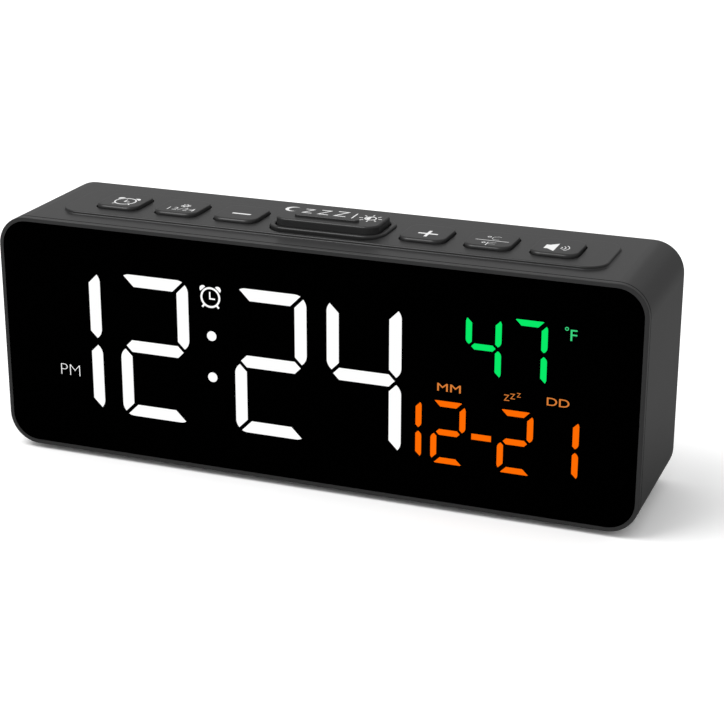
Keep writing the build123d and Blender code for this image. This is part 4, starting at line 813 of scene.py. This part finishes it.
@dataclass
class KeyMarks:
    """The printed marks on the seven keys."""

    height: float = 0.05
    sink: float = 0.02
    key_top: float = KEY_TOP_Z
    bar_top: float = 72.9
    row: float = -2.25
    alarm: AlarmSign = AlarmSign(u=-62.75, v=-2.15, radius=3.2, stroke=0.38, hand=0.34)
    hours_box: Box = ((-48.4, -5.1), (-40.4, -2.6))
    gear: Point = (-44.6, -0.4)
    gear_rim: Point = (0.95, 0.65)
    gear_tooth: Triple = (1.05, 1.45, 0.3)
    gear_teeth: int = 8
    minus: Triple = (-29.5, -24.0, 0.85)
    plus: Triple = (27.75, 2.75, 0.42)
    crescent: Triple = (-12.8, 1.5, 2.2)
    sleep_signs: tuple[Point, ...] = ((-8.0, 3.0), (-3.3, 3.3), (1.6, 3.6))
    sleep_foot: float = -0.9
    sleep_height: float = 1.3
    divider: tuple[Point, Point, float] = ((5.55, 3.3), (5.55, -3.0), 0.36)
    sun: Point = (10.45, 0.1)
    sun_rim: Point = (1.7, 1.35)
    sun_core: float = 1.2
    sun_rays: int = 8
    ray_radius: float = 2.75
    ray_size: Point = (1.1, 0.34)
    degree: tuple[float, float, float, float] = (44.0, 2.3, 0.55, 0.34)
    unit_span: Triple = (45.0, 47.3, 2.9)
    units: Signs = (("C", -1.45), ("F", -6.95))
    unit_line: tuple[Point, Point, float] = ((41.1, -2.4), (50.2, -2.4), 0.22)
    horn: tuple[Point, ...] = (
        (60.1, -3.9), (61.1, -3.9), (63.2, -5.7), (63.2, 1.2), (61.1, -0.6), (60.1, -0.6)
    )
    wave_u: float = 63.75
    wave_radii: tuple[float, ...] = (0.95, 1.9, 2.85)
    wave_half: float = 0.11
    wave_angle: float = 50.0

    def mark(self, key: str) -> Mark:
        """Starts the mark of one key, on its top face."""
        top = self.bar_top if key == "snooze" else self.key_top
        return Mark(
            f"{key}_mark", Facing.TOP, top - self.sink, self.height, MARK_INK, f"{key}_button"
        )

    def build(self) -> None:
        """Prints all seven keys."""
        alarm = self.mark("alarm")
        alarm.regions += self.alarm.regions()
        alarm.build()
        self.build_set()
        minus = self.mark("minus")
        left, right, width = self.minus
        minus.regions.append(Pen.bar((left, self.row), (right, self.row), width))
        minus.build()
        self.build_snooze()
        plus = self.mark("plus")
        v = self.row
        u, arm, half = self.plus
        plus.regions.append(Region((
            (u - arm, v - half), (u - half, v - half), (u - half, v - arm), (u + half, v - arm),
            (u + half, v - half), (u + arm, v - half), (u + arm, v + half), (u + half, v + half),
            (u + half, v + arm), (u - half, v + arm), (u - half, v + half), (u - arm, v + half),
        )))
        plus.build()
        self.build_unit()
        self.build_sound()

    def build_set(self) -> None:
        """Prints a gear over the two hour counts."""
        mark = self.mark("set")
        mark.write("12/24", *self.hours_box, weight=-0.02)
        u, v = self.gear
        mark.regions.append(Pen.ring(u, v, *self.gear_rim, steps=24))
        root, tip, width = self.gear_tooth
        for i in range(self.gear_teeth):
            angle = math.radians(360.0 / self.gear_teeth * i)
            du, dv = math.cos(angle), math.sin(angle)
            mark.regions.append(
                Pen.bar((u + root * du, v + root * dv), (u + tip * du, v + tip * dv), width)
            )
        mark.build()

    def build_snooze(self) -> None:
        """Prints the sleep sign, a divider and a sun on the long key."""
        mark = self.mark("snooze")
        mark.regions.append(self.moon(*self.crescent))
        foot = self.sleep_foot
        for u, size in self.sleep_signs:
            low, high = (u - size / 2, foot), (u + size / 2, foot + size * self.sleep_height)
            mark.write("Z", low, high, weight=-0.012)
        mark.regions.append(Pen.bar(*self.divider))
        mark.regions.append(Pen.ring(*self.sun, *self.sun_rim))
        mark.regions.append(Region(tuple(Pen.arc(*self.sun, self.sun_core, 90.0, 270.0, 24))))
        mark.build()
        ray_tree().run("snooze_sun_rays", {
            "Count": self.sun_rays,
            "Radius": self.ray_radius * MM,
            "Size": Vector((*self.ray_size, self.height)) * MM,
            "Place": Vector((*self.sun, self.bar_top - self.sink + self.height / 2)) * MM,
            "Material": MARK_INK.material(),
        }, "snooze_button")

    @staticmethod
    def moon(u: float, v: float, radius: float, opening: float = 50.0, bite: float = 0.3) -> Region:
        """Gives a crescent that opens to the right.

        Args:
            u: Middle, to the right.
            v: Middle, up.
            radius: Radius of the outer curve.
            opening: Angle of its upper tip in degrees.
            bite: How far the inner curve's middle is shifted, as a share of the radius.

        Returns:
            The crescent's outline.
        """
        outer = Pen.arc(u, v, radius, opening, 360.0 - opening, 32)
        shift = bite * radius
        reach = math.hypot(outer[0][0] - u - shift, outer[0][1] - v)
        start = math.degrees(math.atan2(outer[0][1] - v, outer[0][0] - u - shift))
        inner = Pen.arc(u + shift, v, reach, 360.0 - start, start, 24)
        return Region(tuple(outer + inner[1:-1]))

    def build_unit(self) -> None:
        """Prints the two temperature units, one over the other."""
        mark = self.mark("temperature")
        u, rise, outer, inner = self.degree
        left, right, height = self.unit_span
        for letter, v in self.units:
            mark.regions.append(Pen.ring(u, v + rise, outer, inner, steps=20))
            mark.write(letter, (left, v), (right, v + height), weight=-0.035)
        mark.regions.append(Pen.bar(*self.unit_line))
        mark.build()

    def build_sound(self) -> None:
        """Prints a loudspeaker with three waves."""
        mark = self.mark("volume")
        mark.regions.append(Region(self.horn))
        half, angle = self.wave_half, self.wave_angle
        for radius in self.wave_radii:
            mark.regions.append(
                Pen.band(self.wave_u, self.row, radius + half, radius - half, -angle, angle)
            )
        mark.build()


@dataclass
class Inlet:
    """The contact pads in the power inlet."""

    tongue_node: str = "power_inlet_tongue"
    body: str = "case"
    count: int = 12
    pitch: float = 0.5
    pad: Triple = (0.26, 3.4, 0.03)
    setback: float = 2.4

    def build(self) -> None:
        """Lays the contact pads on both faces of the tongue."""
        low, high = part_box(self.tongue_node)
        first = -self.pitch * (self.count - 1) / 2 * MM
        start = Vector((first, high.y - self.setback * MM, high.z))
        contact_tree().run("inlet_contacts", {
            "Count": self.count,
            "Pitch": Vector((self.pitch, 0.0, 0.0)) * MM,
            "Size": Vector(self.pad) * MM,
            "Start": start,
            "Gap": Vector((0.0, 0.0, low.z - high.z)),
            "Material": CONTACT_GOLD.material(),
        }, self.body)


@dataclass
class Case:
    """The carried-over nodes, each with the finish of its slot."""

    finishes: dict[str, Finish] = field(default_factory=lambda: dict(SLOT_FINISHES))

    def dress(self) -> None:
        """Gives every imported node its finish."""
        for name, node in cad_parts.items():
            for holder in node.material_slots:
                holder.material = self.finishes[holder.material.name.split(".")[0]].material()
            LOG.info("node %s dressed", name)


def closed_loop(
    name: str, rings: list[list[Vector]], finish: Finish, body: str, sharp_from: float = 40.0
) -> bpy.types.Object:
    """Makes a moulding that runs round and closes on itself.

    Args:
        name: Name of the piece.
        rings: Loops of points in metres, each joined to the next and the last to the first.
        finish: Its surface.
        body: The body that it rides on.
        sharp_from: Angle in degrees from which an edge is sharp.

    Returns:
        The finished object.
    """
    shape = bmesh.new()
    loops = [[shape.verts.new(point) for point in ring] for ring in rings]
    for ring, other in zip(loops, loops[1:] + loops[:1]):
        for i, corner in enumerate(ring):
            j = (i + 1) % len(ring)
            shape.faces.new((corner, ring[j], other[j], other[i]))
    bmesh.ops.recalc_face_normals(shape, faces=shape.faces[:])
    mesh = bpy.data.meshes.new(name)
    shape.to_mesh(mesh)
    shape.free()
    mesh.shade_smooth()
    mesh.set_sharp_from_angle(angle=math.radians(sharp_from))
    return add_piece(name, mesh, finish, body)


@dataclass
class KeyEdges:
    """Crisper top edges for the six square keys, full at their sides and back and none along the front."""

    keys: tuple[str, ...] = ("alarm", "set", "minus", "plus", "temperature", "volume")
    size: Triple = (12.8, 14.0, 3.2)
    row_y: float = KEY_ROW_Y
    top_z: float = KEY_TOP_Z
    soft: float = 0.87
    crisp: float = 0.25
    reach: float = 0.9
    round_steps: int = 6

    def section(self, angle: float) -> list[Point]:
        """Gives the edge's section where it faces an angle in degrees, as insets and drops."""
        front = max(-math.sin(math.radians(angle)), 0.0)
        radius = self.crisp + (self.soft - self.crisp) * front
        curve = Pen.arc(radius, radius, radius, 180.0, 270.0, self.round_steps)
        return [(0.0, self.reach), *curve, (self.reach, 0.0), (self.reach, self.reach)]

    def build(self) -> None:
        """Makes the edges of all six keys."""
        width, depth, corner = self.size
        angles = [90.0 * (i + j / QUARTER_STEPS) for i in range(4) for j in range(QUARTER_STEPS + 1)]
        for key in self.keys:
            low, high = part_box(f"{key}_key")
            points = Pen.frame((low.x + high.x) / 2 / MM, self.row_y, width, depth, corner)
            rings = []
            for (u, v), angle in zip(points, angles):
                du, dv = math.cos(math.radians(angle)), math.sin(math.radians(angle))
                rings.append([
                    Facing.TOP.place(u - inset * du, v - inset * dv, self.top_z - drop)
                    for inset, drop in self.section(angle)
                ])
            closed_loop(f"{key}_edge", rings, KEY_PLASTIC, f"{key}_button")


@dataclass
class Trim:
    """Thin trim of the case: a near-black strip in its parting groove as painted shade, the cove and the
    infill of the key plateau.
    """

    body: str = "case"
    outline: Triple = (185.55, 67.8, 8.7)
    middle_z: float = FRONT_MIDDLE_Z
    groove: tuple[float, float] = (-19.56, 0.38)
    seal: tuple[float, float] = (0.03, 0.5)
    pad: Triple = (157.0, 24.4, 6.0)
    row_y: float = KEY_ROW_Y
    top_z: float = 69.3
    cove: float = 0.36
    cove_sink: float = 0.01
    cove_steps: int = 6
    collar: Triple = (33.3, 18.3, 5.35)
    moat: tuple[float, float] = (1.9, 0.8)
    slot_width: float = 0.12
    taper: tuple[float, float] = (30.0, 85.0)

    def build_shade_strip(self) -> None:
        """Lays a near-black strip into the groove behind the front rim, as painted shade that darkens the
        groove's line.
        """
        width, height, corner = self.outline
        outer, inner = (
            tuple(Pen.frame(0.0, self.middle_z, width - 2 * d, height - 2 * d, corner - d)) for d in self.seal
        )
        level, depth = self.groove
        # The strip's near-black colour is painted shade in the groove behind the rim.
        mark = Mark("parting_shade_strip", Facing.FRONT, level, depth, GROOVE_SHADE_RUBBER, self.body, "foot_rubber")
        mark.regions.append(Region(outer, (inner,)))
        mark.build()

    def build_cove(self) -> None:
        """Runs a small cove along the foot of the key plateau."""
        size, sink = self.cove, self.cove_sink
        section = [(-sink, -sink), (-sink, size)]
        section += Pen.arc(size, size, size, 180.0, 270.0, self.cove_steps)
        section.append((size, -sink))
        width, depth, corner = self.pad
        rings = [
            [
                Facing.TOP.place(u, v, self.top_z + rise)
                for u, v in Pen.frame(0.0, self.row_y, width + 2 * out, depth + 2 * out, corner + out)
            ]
            for out, rise in section
        ]
        closed_loop("plateau_cove", rings, CASE_PLASTIC, self.body)

    def build_infill(self) -> None:
        """Narrows the moat of the middle key at its ends and its back, so that it is wide only in front."""
        width, depth, corner = self.collar
        reach, rise = self.moat
        du, dv = width / 2 - corner, depth / 2 - corner
        wide, slim = corner + reach, corner + self.slot_width
        first, last = self.taper
        corners = (
            (du, -dv, -last, 0.0), (du, dv, 0.0, 90.0),
            (-du, dv, 90.0, 180.0), (-du, -dv, 180.0, 180.0 + last),
        )
        outer: list[Point] = []
        inner: list[Point] = []
        for u, v, start, end in corners:
            outer += Pen.arc(u, self.row_y + v, wide, start, end)
            for i in range(QUARTER_STEPS + 1):
                angle = start + (end - start) * i / QUARTER_STEPS
                over = max(max(-angle, angle - 180.0) - first, 0.0) / (last - first)
                inner += Pen.arc(u, self.row_y + v, slim + (wide - slim) * over, angle, angle, 1)[:1]
        mark = Mark("moat_infill", Facing.TOP, self.top_z, rise, CASE_PLASTIC, self.body, "case_grey")
        mark.regions.append(Region(tuple(outer + inner[-2:0:-1])))
        mark.build()

    def build(self) -> None:
        """Makes all three."""
        self.build_shade_strip()
        self.build_cove()
        self.build_infill()


@dataclass(frozen=True)
class Softbox:
    """One soft studio light."""

    name: str
    place: Triple
    aim: Triple
    size: tuple[float, float]
    power: float

    def build(self) -> None:
        """Hangs the light."""
        lamp = bpy.data.lights.new(self.name, "AREA")
        lamp.shape = "RECTANGLE"
        lamp.size, lamp.size_y = self.size
        lamp.energy = self.power
        holder = bpy.data.objects.new(self.name, lamp)
        place, aim = Vector(self.place), Vector(self.aim)
        turn = (aim - place).to_track_quat("-Z", "Y").to_matrix().to_4x4()
        holder.matrix_world = Matrix.Translation(place) @ turn
        holder.visible_camera = False
        bpy.context.scene.collection.objects.link(holder)


@dataclass(frozen=True)
class RayLevel:
    """Brightness of a part of the studio for scattered, straight and mirrored rays."""

    scattered: float
    straight: float
    mirrored: float


@dataclass
class Studio:
    """A pale floor, soft light and the photograph's camera."""

    azimuth: float = 20.755
    elevation: float = 19.997
    roll: float = 0.122
    place: Triple = (0.185776, -0.468886, 0.213749)
    lens_mm: float = 95.19
    sensor_mm: float = 36.0
    clip_start: float = 0.01
    floor_half: float = 4.0
    sky: RayLevel = RayLevel(0.80, 1.0, 0.22)
    floor: RayLevel = RayLevel(0.96, 1.15, 0.20)
    lights: tuple[Softbox, ...] = (
        Softbox("key_softbox", (-0.44, -0.35, 0.97), (0.0, 0.0, 0.03), (0.70, 0.70), 6.5),
        Softbox("back_softbox", (-0.35, 0.80, 0.36), (0.0, 0.0, 0.05), (0.80, 0.45), 0.22),
        Softbox("back_fill", (0.16, 0.80, 0.45), (0.0, 0.0, 0.05), (0.34, 0.50), 0.045),
    )

    def build_camera(self) -> None:
        """Sets the camera at the photograph's place and angle."""
        az, el, roll = (math.radians(a) for a in (self.azimuth, self.elevation, self.roll))
        back = Vector((math.sin(az) * math.cos(el), -math.cos(az) * math.cos(el), math.sin(el)))
        right = Vector((math.cos(az), math.sin(az), 0.0))
        up = back.cross(right)
        side = right * math.cos(roll) + up * math.sin(roll)
        rise = up * math.cos(roll) - right * math.sin(roll)
        turn = Matrix((side, rise, back)).transposed().to_4x4()
        camera = bpy.data.cameras.new("photo_camera")
        camera.lens = self.lens_mm
        camera.sensor_width = self.sensor_mm
        camera.clip_start = self.clip_start
        holder = bpy.data.objects.new("photo_camera", camera)
        holder.matrix_world = Matrix.Translation(Vector(self.place)) @ turn
        bpy.context.scene.collection.objects.link(holder)
        bpy.context.scene.camera = holder

    @staticmethod
    def by_ray(nodes: Nodes, level: RayLevel) -> bpy.types.NodeSocket:
        """Adds a brightness that depends on the kind of ray.

        Args:
            nodes: The tree of the floor or the surround.
            level: Brightness for scattered, straight and mirrored rays.

        Returns:
            A socket with the brightness.
        """
        path = nodes.add("ShaderNodeLightPath").outputs
        mirrored = nodes.math("MAXIMUM", path["Is Glossy Ray"], path["Is Transmission Ray"])
        value: object = level.scattered
        for mask, other in ((path["Is Camera Ray"], level.straight), (mirrored, level.mirrored)):
            value = nodes.math("MULTIPLY_ADD", mask, other - level.scattered, value)
        return value

    def build_floor(self) -> None:
        """Lays the pale floor."""
        half = self.floor_half
        mesh = bpy.data.meshes.new("studio_floor")
        corners = [(-half, -half, 0), (half, -half, 0), (half, half, 0), (-half, half, 0)]
        mesh.from_pydata(corners, [], [(0, 1, 2, 3)])
        sheet = bpy.data.objects.new("studio_floor", mesh)
        bpy.context.scene.collection.objects.link(sheet)
        paper = bpy.data.materials.new("studio_paper")
        paper.use_nodes = True
        nodes = Nodes(paper.node_tree)
        matte = nodes.add("ShaderNodeBsdfDiffuse", Color=self.by_ray(nodes, self.floor))
        nodes.add("ShaderNodeOutputMaterial", Surface=matte.outputs["BSDF"])
        mesh.materials.append(paper)

    def build_sky(self) -> None:
        """Makes the white surround."""
        world = bpy.data.worlds.new("studio_surround")
        world.use_nodes = True
        nodes = Nodes(world.node_tree)
        glow = nodes.add(
            "ShaderNodeBackground", Color=(1.0, 1.0, 1.0, 1.0), Strength=self.by_ray(nodes, self.sky)
        )
        nodes.add("ShaderNodeOutputWorld", Surface=glow.outputs["Background"])
        bpy.context.scene.world = world

    def build(self) -> None:
        """Sets up the whole studio."""
        self.build_camera()
        self.build_floor()
        self.build_sky()
        for light in self.lights:
            light.build()
        bpy.context.scene.view_settings.view_transform = "Standard"


def main() -> None:
    """Builds the studio and dresses the clock, sub-assembly by sub-assembly."""
    logging.basicConfig(level=logging.INFO, format="%(name)s: %(message)s")
    Studio().build()
    Case().dress()
    Trim().build()
    KeyEdges().build()
    display = Display()
    display.build_window()
    display.build_digits()
    display.build_symbols()
    KeyMarks().build()
    Inlet().build()


if __name__ == "__main__":
    main()
